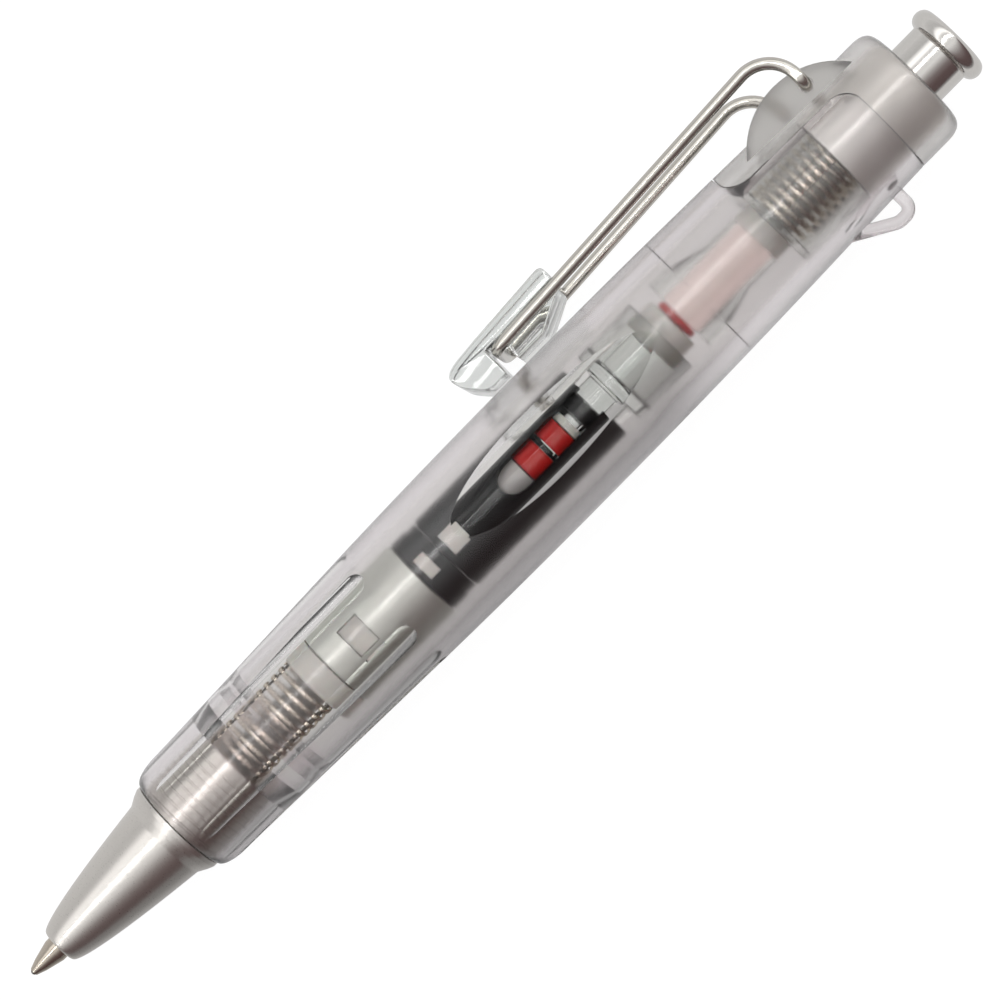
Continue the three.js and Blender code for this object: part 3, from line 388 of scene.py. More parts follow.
# A block of a tube's wall between two angles, in slices along and facets round.
def wallBlock(x0, x1, inner, outer, start, end, slices=24, facet=1.5):
    angles = ramp(start, end, max(2, math.ceil((end - start) / facet)))
    rings = []
    for x in ramp(x0, x1, slices):
        rings.append([around(x, outer, a) for a in angles] + [around(x, inner, a) for a in reversed(angles)])
    shape = bmesh.new()
    rows = [[shape.verts.new(p) for p in ring] for ring in rings]
    count = len(rows[0])
    for a, b in zip(rows, rows[1:]):
        for i in range(count):
            shape.faces.new([a[i], b[i], b[(i + 1) % count], a[(i + 1) % count]])
    for row in (rows[0], rows[-1]):
        for i in range(len(angles) - 1):
            shape.faces.new([row[i], row[i + 1], row[count - 2 - i], row[count - 1 - i]])
    bmesh.ops.recalc_face_normals(shape, faces=shape.faces)
    return shape


# A round peg that points out from the pen's axis at an angle, or along w where it lies across.
def peg(middle, radius, length, degrees=0, across=False, sides=48):
    shape = bmesh.new()
    bmesh.ops.create_cone(shape, cap_ends=True, segments=sides, radius1=radius, radius2=radius, depth=length)
    if not across:
        turn = Matrix.Rotation(math.radians(degrees - 90), 4, "X")
        bmesh.ops.transform(shape, matrix=turn, verts=shape.verts)
    bmesh.ops.translate(shape, vec=Vector(middle), verts=shape.verts)
    return shape


def box(x0, x1, h0, h1, w0, w1):
    shape = bmesh.new()
    bmesh.ops.create_cube(shape, size=1)
    bmesh.ops.scale(shape, vec=(x1 - x0, h1 - h0, w1 - w0), verts=shape.verts)
    bmesh.ops.translate(shape, vec=((x0 + x1) / 2, (h0 + h1) / 2, (w0 + w1) / 2), verts=shape.verts)
    return shape


def turnedBy(shape, degrees):
    bmesh.ops.transform(shape, matrix=Matrix.Rotation(math.radians(degrees), 4, "X"), verts=shape.verts)
    return shape


# A scratch object in the pen's millimetres, used up by the cuts below.
def draft(shape, finishes):
    mesh = bpy.data.meshes.new("draft")
    shape.to_mesh(mesh)
    shape.free()
    for finish in finishes:
        mesh.materials.append(finish)
    piece = bpy.data.objects.new("draft", mesh)
    scene.collection.objects.link(piece)
    return piece


# Keeps the mesh that a piece's modifiers make.
def applied(piece):
    graph = bpy.context.evaluated_depsgraph_get()
    mesh = bpy.data.meshes.new_from_object(piece.evaluated_get(graph))
    piece.modifiers.clear()
    old = piece.data
    piece.data = mesh
    bpy.data.meshes.remove(old)
    return piece


def discard(piece):
    mesh = piece.data
    bpy.data.objects.remove(piece)
    bpy.data.meshes.remove(mesh)


# Joins, cuts or meets a draft with others, which are used up.
def combined(piece, operation, *tools):
    for tool in tools:
        cut = piece.modifiers.new("cut", "BOOLEAN")
        cut.operation = operation
        cut.solver = "MANIFOLD"
        cut.material_mode = "TRANSFER"
        cut.object = tool
        applied(piece)
        discard(tool)
    return piece


# Rounds a draft's edges that are sharper than an angle.
def softened(piece, width, segments, angle=30):
    softEdge = piece.modifiers.new("softEdge", "BEVEL")
    softEdge.width = width
    softEdge.segments = segments
    softEdge.limit_method = "ANGLE"
    softEdge.angle_limit = math.radians(angle)
    return applied(piece)


# Turns a draft into a finished piece: smooth with its real edges kept, on the frame, and riding on a body
# when it is given one body by name.
def placed(piece, name, body, *nodes, edge=30, slot=None):
    shape = bmesh.new()
    shape.from_mesh(piece.data)
    bmesh.ops.remove_doubles(shape, verts=shape.verts, dist=weld)
    for face in shape.faces:
        face.smooth = True
    for line in shape.edges:
        faces = line.link_faces
        if len(faces) == 2:
            turn = faces[0].normal.angle(faces[1].normal, 0)
            line.smooth = turn < math.radians(edge) and faces[0].material_index == faces[1].material_index
    shape.to_mesh(piece.data)
    shape.free()
    piece.data.transform(penFrame)
    piece.name = name
    piece.data.name = name
    if isinstance(body, str):
        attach(piece, body)
    else:
        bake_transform(piece)
    if nodes:
        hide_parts(*nodes)
    return piece


# A turned draft from its profile, with every listed corner rounded, and the same as a finished piece.
def turnedDraft(profile, finish, sides=96):
    return draft(turned(rounded(profile), sides), [finish])


def turnedPiece(name, profile, finish, body, node, slot, sides=96, edge=30):
    return placed(turnedDraft(profile, finish, sides), name, body, node, edge=edge, slot=slot)


# The profile of a plain ring or tube; its bore's edges are rounded only where it says by how much.
def ringProfile(ring):
    boreEdge = [ring["boreEdge"]] if "boreEdge" in ring else []
    return [
        (ring["front"], ring["bore"], *boreEdge),
        (ring["rear"], ring["bore"], *boreEdge),
        (ring["rear"], ring["radius"], ring["edge"]),
        (ring["front"], ring["radius"], ring["edge"]),
    ]


# A new node tree, and the inputs that it is given by name and kind.
def startTree(name, kinds):
    tree = bpy.data.node_groups.new(name, "GeometryNodeTree")
    for label, kind in kinds.items():
        tree.interface.new_socket(label, in_out="INPUT", socket_type=f"NodeSocket{kind}")
    tree.interface.new_socket("Geometry", in_out="OUTPUT", socket_type="NodeSocketGeometry")
    return tree, addNode(tree, "NodeGroupInput").outputs


# Ends a node tree: its shapes made real and given their finish.
def endTree(tree, geometry, finish):
    real = addNode(tree, "GeometryNodeRealizeInstances", {"Geometry": geometry}).outputs["Geometry"]
    dressed = addNode(tree, "GeometryNodeSetMaterial", {"Geometry": real, "Material": finish})
    addNode(tree, "NodeGroupOutput", {"Geometry": dressed.outputs["Geometry"]})


# A node tree that winds wire along the pen's axis, with its end turns close together.
springSizes = ("Front", "Length", "Coil Radius", "Wire Radius", "Turns", "Close Turns")
woundWire, size = startTree("woundWire", {**dict.fromkeys(springSizes, "Float"), "Finish": "Material"})


# One step of sums in the winding tree.
def sums(operation, a, b=0.0, c=0.0):
    return addNode(woundWire, "ShaderNodeMath", {0: a, 1: b, 2: c}, operation=operation).outputs[0]


turnPoints = 40
closeWires = 2.06  # wire radii from one close turn to the next
points = sums("MULTIPLY_ADD", size["Turns"], turnPoints, 1)
line = addNode(woundWire, "GeometryNodeMeshLine", {"Count": points})
turnsSoFar = sums("DIVIDE", addNode(woundWire, "GeometryNodeInputIndex").outputs[0], turnPoints)
closePitch = sums("MULTIPLY", size["Wire Radius"], closeWires)
closeLength = sums("MULTIPLY", closePitch, size["Close Turns"])
freeTurns = sums("MULTIPLY_ADD", size["Close Turns"], -2, size["Turns"])
freeLength = sums("MULTIPLY_ADD", closeLength, -2, size["Length"])
freePitch = sums("DIVIDE", freeLength, freeTurns)
inFront = sums("MINIMUM", turnsSoFar, size["Close Turns"])
inMiddle = sums("MINIMUM", sums("MAXIMUM", sums("SUBTRACT", turnsSoFar, size["Close Turns"]), 0), freeTurns)
inRear = sums("MAXIMUM", sums("SUBTRACT", sums("SUBTRACT", turnsSoFar, size["Close Turns"]), freeTurns), 0)
x = sums("MULTIPLY_ADD", inMiddle, freePitch, sums("MULTIPLY", sums("ADD", inFront, inRear), closePitch))
turn = sums("MULTIPLY", turnsSoFar, 2 * math.pi)
position = addNode(
    woundWire,
    "ShaderNodeCombineXYZ",
    {
        "X": sums("ADD", x, size["Front"]),
        "Y": sums("MULTIPLY", sums("COSINE", turn), size["Coil Radius"]),
        "Z": sums("MULTIPLY", sums("SINE", turn), size["Coil Radius"]),
    },
)
curve = addNode(woundWire, "GeometryNodeMeshToCurve", {"Mesh": line.outputs["Mesh"]})
helix = addNode(
    woundWire,
    "GeometryNodeSetPosition",
    {"Geometry": curve.outputs["Curve"], "Position": position.outputs["Vector"]},
)
section = addNode(
    woundWire, "GeometryNodeCurvePrimitiveCircle", {"Resolution": 12, "Radius": size["Wire Radius"]}
)
wire = addNode(
    woundWire,
    "GeometryNodeCurveToMesh",
    {"Curve": helix.outputs["Geometry"], "Profile Curve": section.outputs["Curve"], "Fill Caps": True},
)
endTree(woundWire, wire.outputs["Mesh"], size["Finish"])

# A node tree that sets copies of one cutter round the pen's axis.
cutterInputs = {"Geometry": "Geometry", "Count": "Int", "Finish": "Material"}
ringOfCutters, given = startTree("ringOfCutters", cutterInputs)
spots = addNode(ringOfCutters, "GeometryNodePoints", {"Count": given["Count"]})
share = addNode(
    ringOfCutters,
    "ShaderNodeMath",
    {0: addNode(ringOfCutters, "GeometryNodeInputIndex").outputs[0], 1: given["Count"]},
    operation="DIVIDE",
)
angle = addNode(ringOfCutters, "ShaderNodeMath", {0: share.outputs[0], 1: 2 * math.pi}, operation="MULTIPLY")
spin = addNode(ringOfCutters, "ShaderNodeCombineXYZ", {"X": angle.outputs[0]})
copies = addNode(
    ringOfCutters,
    "GeometryNodeInstanceOnPoints",
    {"Points": spots.outputs[0], "Instance": given["Geometry"], "Rotation": spin.outputs[0]},
)
endTree(ringOfCutters, copies.outputs["Instances"], given["Finish"])


# Runs a node tree with its inputs set by name, and keeps the plain mesh.
def runTree(piece, tree, **inputs):
    modifier = piece.modifiers.new(tree.name, "NODES")
    modifier.node_group = tree
    for item in tree.interface.items_tree:
        key = item.name.replace(" ", "")
        if item.in_out == "INPUT" and key in inputs:
            modifier[item.identifier] = inputs[key]
    return applied(piece)


print("node trees made:", [group.name for group in bpy.data.node_groups])

# Refill and point
point = {
    "ballRadius": 0.35, "coneLength": 3.1, "radius": 1.25, "length": 11.0, "tailRadius": 1.0,
    "tailLength": 2.2, "inkRadius": 0.3, "ballPlay": 0.03, "lip": 0.1, "lipRadius": 0.42,
    "neckStart": 1.24, "neckRadius": 0.78,
}
ballProfile = [
    (point["ballRadius"] * (1 - math.cos(a)), point["ballRadius"] * math.sin(a)) for a in ramp(0, math.pi, 24)
]
placed(draft(turned(ballProfile, 48), [carbide]), "writingBall", "ball", "writing_ball", slot="tip_steel")

cup = point["ballRadius"] + point["ballPlay"]
mouth = math.sqrt(cup**2 - point["lip"] ** 2)
tail = point["length"] + point["tailLength"]
turnedPiece(
    "refillPoint",
    [
        (point["ballRadius"] - point["lip"], mouth),
        (point["ballRadius"], cup),
        (point["ballRadius"] + math.sqrt(0.5) * cup, math.sqrt(0.5) * cup, 0.1),
        (point["ballRadius"] + cup, point["inkRadius"]),
        (tail, point["inkRadius"]),
        (tail, point["tailRadius"], 0.1),
        (point["length"], point["tailRadius"]),
        (point["length"], point["radius"], 0.1),
        (point["coneLength"], point["radius"], 0.6),
        (point["neckStart"], point["neckRadius"], 0.5),
        (point["ballRadius"] - point["lip"], point["lipRadius"], 0.03),
    ],
    nickelSilver, "carriage", "tip_socket", "tip_steel", sides=64,
)

# Nose: a curved cone, a flare up to the barrel, and the screwed spigot inside it
nose = {
    "front": 3.8, "rear": 20.2, "frontRadius": 1.83, "waistRadius": 4.45, "waistSetback": 2.0,
    "rimRadius": 5.2, "rimLength": 0.5, "rimSlope": 0.6, "rimDrop": 0.25, "mouthRadius": 1.35,
    "mouthLength": 3.0, "cavityRadius": 2.4, "spigotRadius": 4.6, "spigotRear": 28.4, "swell": 0.6,
    "threadTurns": 8.0, "threadWire": 0.15, "threadInset": 0.7, "threadSink": 0.03,
    "mouthSlope": 1.0, "crowding": 1.3,
}
waist = nose["rear"] - nose["waistSetback"]
noseProfile = [
    (nose["front"], nose["mouthRadius"], 0.12),
    (nose["front"] + nose["mouthLength"], nose["mouthRadius"]),
    (nose["front"] + nose["mouthLength"] + nose["mouthSlope"], nose["cavityRadius"]),
    (nose["spigotRear"], nose["cavityRadius"], 0.15),
    (nose["spigotRear"], nose["spigotRadius"], 0.25),
    (nose["rear"], nose["spigotRadius"]),
    (nose["rear"], nose["rimRadius"], 0.12),
    (nose["rear"] - nose["rimLength"], nose["rimRadius"], 0.25),
    (nose["rear"] - nose["rimLength"] - nose["rimSlope"], nose["rimRadius"] - nose["rimDrop"], 0.6),
    (waist, nose["waistRadius"], 0.7),
]
for step in ramp(1, 0, 40)[1:]:  # its points crowd towards the tip
    u = step ** nose["crowding"]
    radius = nose["frontRadius"] + (nose["waistRadius"] - nose["frontRadius"]) * u ** nose["swell"]
    corner = (0.35,) if u == 0 else ()
    noseProfile.append((nose["front"] + (waist - nose["front"]) * u, radius) + corner)
turnedPiece("noseCone", noseProfile, satinChrome, "nose", "nose_cone", "satin_silver", sides=128, edge=40)

thread = draft(bmesh.new(), [satinChrome])
runTree(
    thread,
    woundWire,
    Front=nose["rear"] + nose["threadInset"],
    Length=nose["spigotRear"] - nose["rear"] - 2 * nose["threadInset"],
    CoilRadius=nose["spigotRadius"] - nose["threadSink"],
    WireRadius=nose["threadWire"],
    Turns=nose["threadTurns"],
    CloseTurns=0.0,
    Finish=satinChrome,
)
placed(thread, "noseThread", "nose", slot="satin_silver")
print("point and nose made")

# Barrel: shoulder, slow swell to the belly, taper to the tail
barrel = {
    "front": 20.3, "length": 94.3, "frontRadius": 5.3, "shoulderRadius": 6.2, "shoulderLength": 2.9,
    "bellyRadius": 7.25, "bellyStart": 49.0, "bellyLength": 5.0, "bellySwell": 1.2, "tailRadius": 6.5,
    "boreRadius": 5.5, "boreStep": 78.6, "stepSlope": 3.5, "rearBoreRadius": 5.05, "threadBore": 4.75,
    "threadRear": 28.3, "threadSlope": 2.3, "ribRadius": 5.1, "ribCorner": 0.4, "ribTop": (33.2, 33.6),
    "ribFoot": (32.1, 34.7), "bluntFaces": ((28.2, 30.7), (32.0, 34.8)), "lineX": 90.8,
    "lineSlope": 0.1, "lineDepth": 0.06, "edge": 0.15, "sides": 144,
    "frostedMouth": 2,
}
barrelRear = barrel["front"] + barrel["length"]


def barrelRadius(x):
    along = x - barrel["front"]
    bellyEnd = barrel["bellyStart"] + barrel["bellyLength"]
    if along < barrel["shoulderLength"]:
        u = max(0, along) / barrel["shoulderLength"]
        rise = math.sqrt(1 - (1 - u) ** 2)
        return barrel["frontRadius"] + (barrel["shoulderRadius"] - barrel["frontRadius"]) * rise
    if along < barrel["bellyStart"]:
        u = (along - barrel["shoulderLength"]) / (barrel["bellyStart"] - barrel["shoulderLength"])
        swell = math.sin(math.pi / 2 * u) ** barrel["bellySwell"]
        return barrel["shoulderRadius"] + (barrel["bellyRadius"] - barrel["shoulderRadius"]) * swell
    u = min(1, max(0, along - bellyEnd) / (barrel["length"] - bellyEnd))
    fall = 1 - math.cos(math.pi / 2 * u)
    return barrel["bellyRadius"] - (barrel["bellyRadius"] - barrel["tailRadius"]) * fall


shoulder = ramp(0, math.pi / 2, 16)[1:]
outsideX = [barrel["front"] + barrel["shoulderLength"] * (1 - math.cos(a)) for a in shoulder]
outsideX += ramp(barrel["front"] + barrel["shoulderLength"], barrelRear, 84)[1:-1]
barrelProfile = rounded(
    [
        (barrelRear, barrel["rearBoreRadius"], barrel["edge"]),
        (barrel["lineX"] + barrel["lineSlope"], barrel["rearBoreRadius"]),
        (barrel["lineX"], barrel["rearBoreRadius"] + barrel["lineDepth"]),
        (barrel["boreStep"] + barrel["stepSlope"], barrel["rearBoreRadius"] + barrel["lineDepth"]),
        (barrel["boreStep"], barrel["boreRadius"]),
        (barrel["ribFoot"][1], barrel["boreRadius"]),
        (barrel["ribTop"][1], barrel["ribRadius"], barrel["ribCorner"]),
        (barrel["ribTop"][0], barrel["ribRadius"], barrel["ribCorner"]),
        (barrel["ribFoot"][0], barrel["boreRadius"]),
        (barrel["threadRear"] + barrel["threadSlope"], barrel["boreRadius"]),
        (barrel["threadRear"], barrel["threadBore"]),
        (barrel["front"], barrel["threadBore"], barrel["edge"]),
        (barrel["front"], barrel["frontRadius"]),
        *[(x, barrelRadius(x)) for x in outsideX],
        (barrelRear, barrel["tailRadius"], barrel["edge"]),
    ]
)
barrelShape = turned(barrelProfile, barrel["sides"])
insideRadius = barrel["boreRadius"] + 0.02
mouthEnd = barrel["front"] + barrel["frostedMouth"]
for face in barrelShape.faces:  # the bore is clear, but its mouth, front slope and rib are frosted
    middle = face.calc_center_median()
    inside = math.hypot(middle.y, middle.z) < insideRadius and middle.x > mouthEnd
    blunt = any(a < middle.x < b for a, b in barrel["bluntFaces"])
    face.material_index = 1 if inside and not blunt else 0
barrelBody = draft(barrelShape, materials)

grooves = {
    "count": 6, "start": 2.7, "length": 27.0, "cutterRadius": 1.5, "frontDepth": 0.18, "rearDepth": 0.7,
}
grooveX = [barrel["front"] + grooves["start"]]
grooveX.append(grooveX[0] + grooves["length"] - grooves["cutterRadius"])
grooveH = [
    barrelRadius(x) - depth + grooves["cutterRadius"]
    for x, depth in zip(grooveX, (grooves["frontDepth"], grooves["rearDepth"]))
]
grooveRun = math.hypot(grooveX[1] - grooveX[0], grooveH[1] - grooveH[0])
cutterProfile = [(-grooves["cutterRadius"], 0)]
cutterProfile += [(x, grooves["cutterRadius"]) for x in ramp(-grooves["cutterRadius"], grooveRun, 24)]
cutterProfile += [
    (grooveRun + grooves["cutterRadius"] * math.sin(a), grooves["cutterRadius"] * math.cos(a))
    for a in ramp(0, math.pi / 2, 14)[1:-1]
]
cutterProfile.append((grooveRun + grooves["cutterRadius"], 0))
cutterShape = turned(cutterProfile, 64)
tilt = Matrix.Rotation(math.atan2(grooveH[1] - grooveH[0], grooveX[1] - grooveX[0]), 4, "Z")
toGroove = Matrix.Translation((grooveX[0], grooveH[0], 0)) @ tilt
bmesh.ops.transform(cutterShape, matrix=toGroove, verts=cutterShape.verts)
groovesCutter = draft(cutterShape, [polished])
runTree(groovesCutter, ringOfCutters, Count=grooves["count"], Finish=polished)

windows = {"front": 58.9, "length": 26.3, "width": 6.7, "peak": 11.4, "hollow": 30.0, "sweep": 0.3}


# The scoop of one window, concave across and along.
def windowScoop(degrees):
    rings = []
    for a in ramp(0, math.pi, 48):
        along = windows["length"] * (1 - math.cos(a)) / 2
        reach = windows["peak"] if along < windows["peak"] else windows["length"] - windows["peak"]
        u = (along - windows["peak"]) / reach
        half = windows["width"] / 2 * math.sqrt(max(0, 1 - u * u))
        radius = barrelRadius(windows["front"] + along)
        chord = math.sqrt(radius**2 - half**2)
        scoop = math.sqrt(windows["hollow"] ** 2 + radius**2 - 2 * windows["hollow"] * chord)
        x = windows["front"] + along
        sweep = ramp(-windows["sweep"], windows["sweep"], 60)
        arc = [(windows["hollow"] - scoop * math.cos(b), scoop * math.sin(b)) for b in sweep]
        arc += [(windows["hollow"], windows["width"]), (windows["hollow"], -windows["width"])]
        rings.append([Vector((x, h, w)) for h, w in arc])
    return draft(turnedBy(loft(rings, capped=True), degrees), [windowClear])


slot = {
    "length": 15.0, "halfAngle": 57, "corner": 2.4, "play": 0.15, "past": 0.4, "turnPast": 4, "turnInside": 1,
}
cap = {
    "front": 114.7, "rear": 120.0, "rounding": 2.0, "endWall": 0.6, "holeRadius": 3.48,
    "humpRadius": 8.45, "humpHalfWidth": 4.4, "humpX": 109.7, "pivotDepth": 4.6, "humpFloor": 2.6,
    "pivotRadius": 0.74, "pivotHeight": 6.4, "nearPivotX": 112.1, "farPivotX": 108.9,
}


# The space of the cap's tongue: a wall block with rounded front corners that flares into the ring.
def tongueSpace(play):
    inner, outer = barrel["rearBoreRadius"] - overcut, cap["humpRadius"] + cap["humpHalfWidth"]
    front = barrelRear - slot["length"] + play
    degreesPerMm = 180 / (math.pi * barrel["tailRadius"])
    half = slot["halfAngle"] - play * degreesPerMm
    space = draft(wallBlock(front, cap["rear"], inner, outer, -half, half), materials)
    for side in (-1, 1):
        frontRadius = slot["corner"] - play
        frontTurn = frontRadius * degreesPerMm
        ends = sorted((side * (half - frontTurn), side * (half + slot["turnPast"])))
        depths = (inner - slot["past"], outer + slot["past"])
        block = draft(wallBlock(front - overcut, front + frontRadius, *depths, *ends), materials)
        turn = side * (half - frontTurn)
        middle = around(front + frontRadius, (inner + outer) / 2, turn)
        roundTool = draft(peg(middle, frontRadius, outer - inner + overcut, turn), materials)
        combined(space, "DIFFERENCE", combined(block, "DIFFERENCE", roundTool))
        rearRadius = slot["corner"] + play
        ends = sorted((side * (half - slot["turnInside"]), side * (half + rearRadius * degreesPerMm)))
        block = draft(wallBlock(barrelRear - slot["corner"], cap["rear"], inner, outer, *ends), materials)
        turn = side * (slot["halfAngle"] + slot["corner"] * degreesPerMm)
        middle = around(barrelRear - slot["corner"], (inner + outer) / 2, turn)
        roundTool = draft(peg(middle, rearRadius, outer - inner + overcut, turn), materials)
        combined(space, "UNION", combined(block, "DIFFERENCE", roundTool))
    return space


eye = {
    "wire": 0.65, "reach": 9.3, "front": 104.7, "slope": 4.5, "bar": 1.8, "frontCorner": 1.6,
    "rearCorner": 1.0, "root": 0.75,
}
low = -(eye["reach"] - eye["wire"])
corner = eye["front"] + eye["slope"]
back = corner + eye["bar"]
eyeRoute = bentRoute(
    [
        Vector((eye["front"], -(barrelRadius(eye["front"]) - eye["root"]), 0)),
        Vector((corner, low, 0)),
        Vector((back, low, 0)),
        Vector((back, -(barrelRadius(back) - eye["root"]), 0)),
    ],
    [eye["frontCorner"], eye["rearCorner"]],
)
cordEye = draft(swept(eyeRoute, eye["wire"]), materials)

combined(barrelBody, "DIFFERENCE", groovesCutter, windowScoop(90), windowScoop(-90), tongueSpace(0))
combined(barrelBody, "UNION", cordEye)
placed(barrelBody, "barrelShell", "barrel", "barrel", edge=28, slot="frosted_clear")
print("barrel made:", len(barrelBody.data.polygons), "faces,", len(barrelBody.data.materials), "finishes")

# Tail cap: end ring, tongue in the barrel's slot, and the hump that holds the clip
capProfile = [
    (barrelRear - slot["length"] - overcut, barrel["rearBoreRadius"]),
    (cap["rear"] - cap["endWall"], barrel["rearBoreRadius"]),
    (cap["rear"] - cap["endWall"], cap["holeRadius"], 0.1),
    (cap["rear"], cap["holeRadius"], 0.15),
    (cap["rear"], barrel["tailRadius"], cap["rounding"]),
    *[(x, barrelRadius(x)) for x in ramp(cap["front"], barrelRear - slot["length"] - overcut, 24)],
]
capShell = draft(turned(rounded(capProfile, 10), barrel["sides"]), capMaterials)
ringZone = draft(turnedRing(cap["front"], cap["rear"] + overcut, nearAxis, farOut), materials)
reachOut = cap["humpRadius"] + overcut
humpPeg = peg((cap["humpX"], 0, 0), cap["humpRadius"], 2 * cap["humpHalfWidth"], across=True, sides=128)
hump = draft(humpPeg, [coarseFrosted])
keepOut = turnedRing(cap["humpX"] - reachOut, cap["humpX"] + reachOut, barrel["rearBoreRadius"], farOut, 128)
above = (cap["humpX"] - 16, cap["humpX"] + 16, cap["humpFloor"], 20, -9, 9)  # wide on all sides but its floor
combined(hump, "INTERSECT", draft(keepOut, capMaterials), draft(box(*above), capMaterials))
combined(ringZone, "UNION", tongueSpace(slot["play"]))
combined(capShell, "UNION", hump)
combined(capShell, "INTERSECT", ringZone)
for x, side in ((cap["nearPivotX"], 1), (cap["farPivotX"], -1)):
    middle = (x, cap["pivotHeight"], side * cap["humpHalfWidth"])
    pivot = draft(peg(middle, cap["pivotRadius"], cap["pivotDepth"], across=True), materials)
    combined(capShell, "DIFFERENCE", pivot)
placed(capShell, "tailCap", "barrel", "tail_cap", edge=28, slot="frosted_clear")
print("tail cap made:", len(capShell.data.polygons), "faces")

# Clip wire: one bent wire from one turned-in end round the cross bar to the other
wireClip = {
    "radius": 0.62, "halfSpan": 5.4, "rearHeight": 11.4, "frontHeight": 9.6, "barX": 73.9, "bend": 3.6,
    "corner": 1.5, "endBend": 0.9, "tail": 1.6, "flex": (1, 12),
}


def wireLeg(x, side):
    inner = wireClip["halfSpan"] - wireClip["tail"] - wireClip["radius"]
    return [
        Vector((x, cap["pivotHeight"], side * inner)),
        Vector((x, cap["pivotHeight"], side * wireClip["halfSpan"])),
        Vector((x, wireClip["rearHeight"], side * wireClip["halfSpan"])),
    ]


bar = [Vector((wireClip["barX"], wireClip["frontHeight"], side * wireClip["halfSpan"])) for side in (1, -1)]
bends = [wireClip[bend] for bend in ("endBend", "bend", "corner", "corner", "bend", "endBend")]
clipRoute = bentRoute([*wireLeg(cap["nearPivotX"], 1), *bar, *reversed(wireLeg(cap["farPivotX"], -1))], bends)
clipWire = draft(swept(clipRoute, wireClip["radius"]), [drawnWire])
flex = [(cap["farPivotX"] - along, wireClip["rearHeight"], 0) for along in wireClip["flex"]]
placed(clipWire, "clipWire", ("barrel", "clip", *flex), "clip_wire", slot="spring_steel")

# Pad: a moulded block on the wire's front bar, with a foot that presses on the barrel
pad = {
    "front": 68.7, "rear": 82.5, "halfWidth": 5.35, "foot": 2.3, "notch": 1.8, "topFront": 11.6,
    "topRear": 12.3, "bottom": 7.37, "groovePlay": 0.12, "edge": 0.3,
}
notchFront, notchBack = wireClip["barX"] - pad["notch"] / 2, wireClip["barX"] + pad["notch"] / 2
notchTop = wireClip["frontHeight"] + wireClip["radius"] + pad["groovePlay"]
padOutline = rounded(
    [
        (notchFront, pad["bottom"], 0.25),
        (notchFront, notchTop, 0.3),
        (notchBack, notchTop, 0.3),
        (notchBack, pad["bottom"] + 0.15, 0.25),
        (pad["rear"] - 4.4, pad["bottom"] + 0.15, 0.6),
        (pad["rear"] - 0.3, pad["bottom"] + 2.2, 0.8),
        (pad["rear"], pad["topRear"], 0.7),
        (wireClip["barX"] - 1.0, pad["topFront"] + 0.15, 3.0),
        (pad["front"], pad["topFront"] - 0.2, 2.6),
        (pad["front"] + 0.1, pad["bottom"] + 2.2, 3.2),
        (notchFront - pad["foot"], pad["bottom"], 1.6),
    ],
    8,
)
padRings = [[Vector((x, h, w)) for x, h in padOutline] for w in ramp(-pad["halfWidth"], pad["halfWidth"], 2)]
clipPad = softened(draft(loft(padRings, capped=True), [clearStyrene]), pad["edge"], 4, 60)
wireGroove = swept(clipRoute, wireClip["radius"] + pad["groovePlay"])
combined(clipPad, "DIFFERENCE", draft(wireGroove, [clearStyrene]))
placed(clipPad, "clipPad", "clip", "clip_pad", edge=35, slot="clear_plastic")
print("clip made")

# Carriage: what slides with the refill
ink = {"front": 15.1, "rear": 69.8, "bore": 1.2, "radius": 1.6, "edge": 0.1}
turnedPiece("inkTube", ringProfile(ink), inkTube, "carriage", "refill_tube", "clear_plastic", sides=64)


# Winds a spring between two bodies.
def windSpring(spring, name, bodies, node):
    piece = draft(bmesh.new(), [temperedWire])
    runTree(
        piece,
        woundWire,
        Front=spring["front"] + spring["wireRadius"],
        Length=spring["length"] - 2 * spring["wireRadius"],
        CoilRadius=spring["coilRadius"],
        WireRadius=spring["wireRadius"],
        Turns=spring["turns"],
        CloseTurns=spring["close"],
        Finish=temperedWire,
    )
    ends = [(spring["front"] + along, 0, 0) for along in (0, spring["length"])]
    placed(piece, name, (*bodies, *ends), node, edge=60, slot="spring_steel")


frontSpring = {
    "front": 28.5, "length": 10.2, "coilRadius": 3.2, "wireRadius": 0.27, "turns": 10.0, "close": 0.6,
}
windSpring(frontSpring, "frontSpring", ("barrel", "carriage"), "front_spring")

seat = {"front": 38.8, "rear": 41.4, "bore": 1.7, "radius": 4.35}
turnedPiece(
    "springSeat",
    [
        (seat["front"], seat["bore"], 0.15),
        (seat["rear"], seat["bore"]),
        (seat["rear"], seat["radius"], 0.2),
        (seat["front"], seat["radius"], 0.35),
    ],
    whiteAcetal, "carriage", "spring_seat", "white_plastic",
)

sleeve = {
    "front": 41.5, "rear": 53.5, "bore": 3.45, "radius": 4.45, "boreEdge": 0.1, "edge": 0.2,
    "latchX": 44.3, "latchLength": 2.5, "latchWidth": 3.2,
}
frontSleeve = turnedDraft(ringProfile(sleeve), pearlAcetal)
pastWalls = 9  # beyond every wall inside the barrel
for side in (1, -1):
    ends = sorted((0, side * pastWalls))
    half = sleeve["latchWidth"] / 2
    cutter = box(sleeve["latchX"], sleeve["latchX"] + sleeve["latchLength"], -half, half, *ends)
    combined(frontSleeve, "DIFFERENCE", draft(cutter, [pearlAcetal]))
placed(frontSleeve, "frontSleeve", "carriage", "front_sleeve", slot="pearl_white")

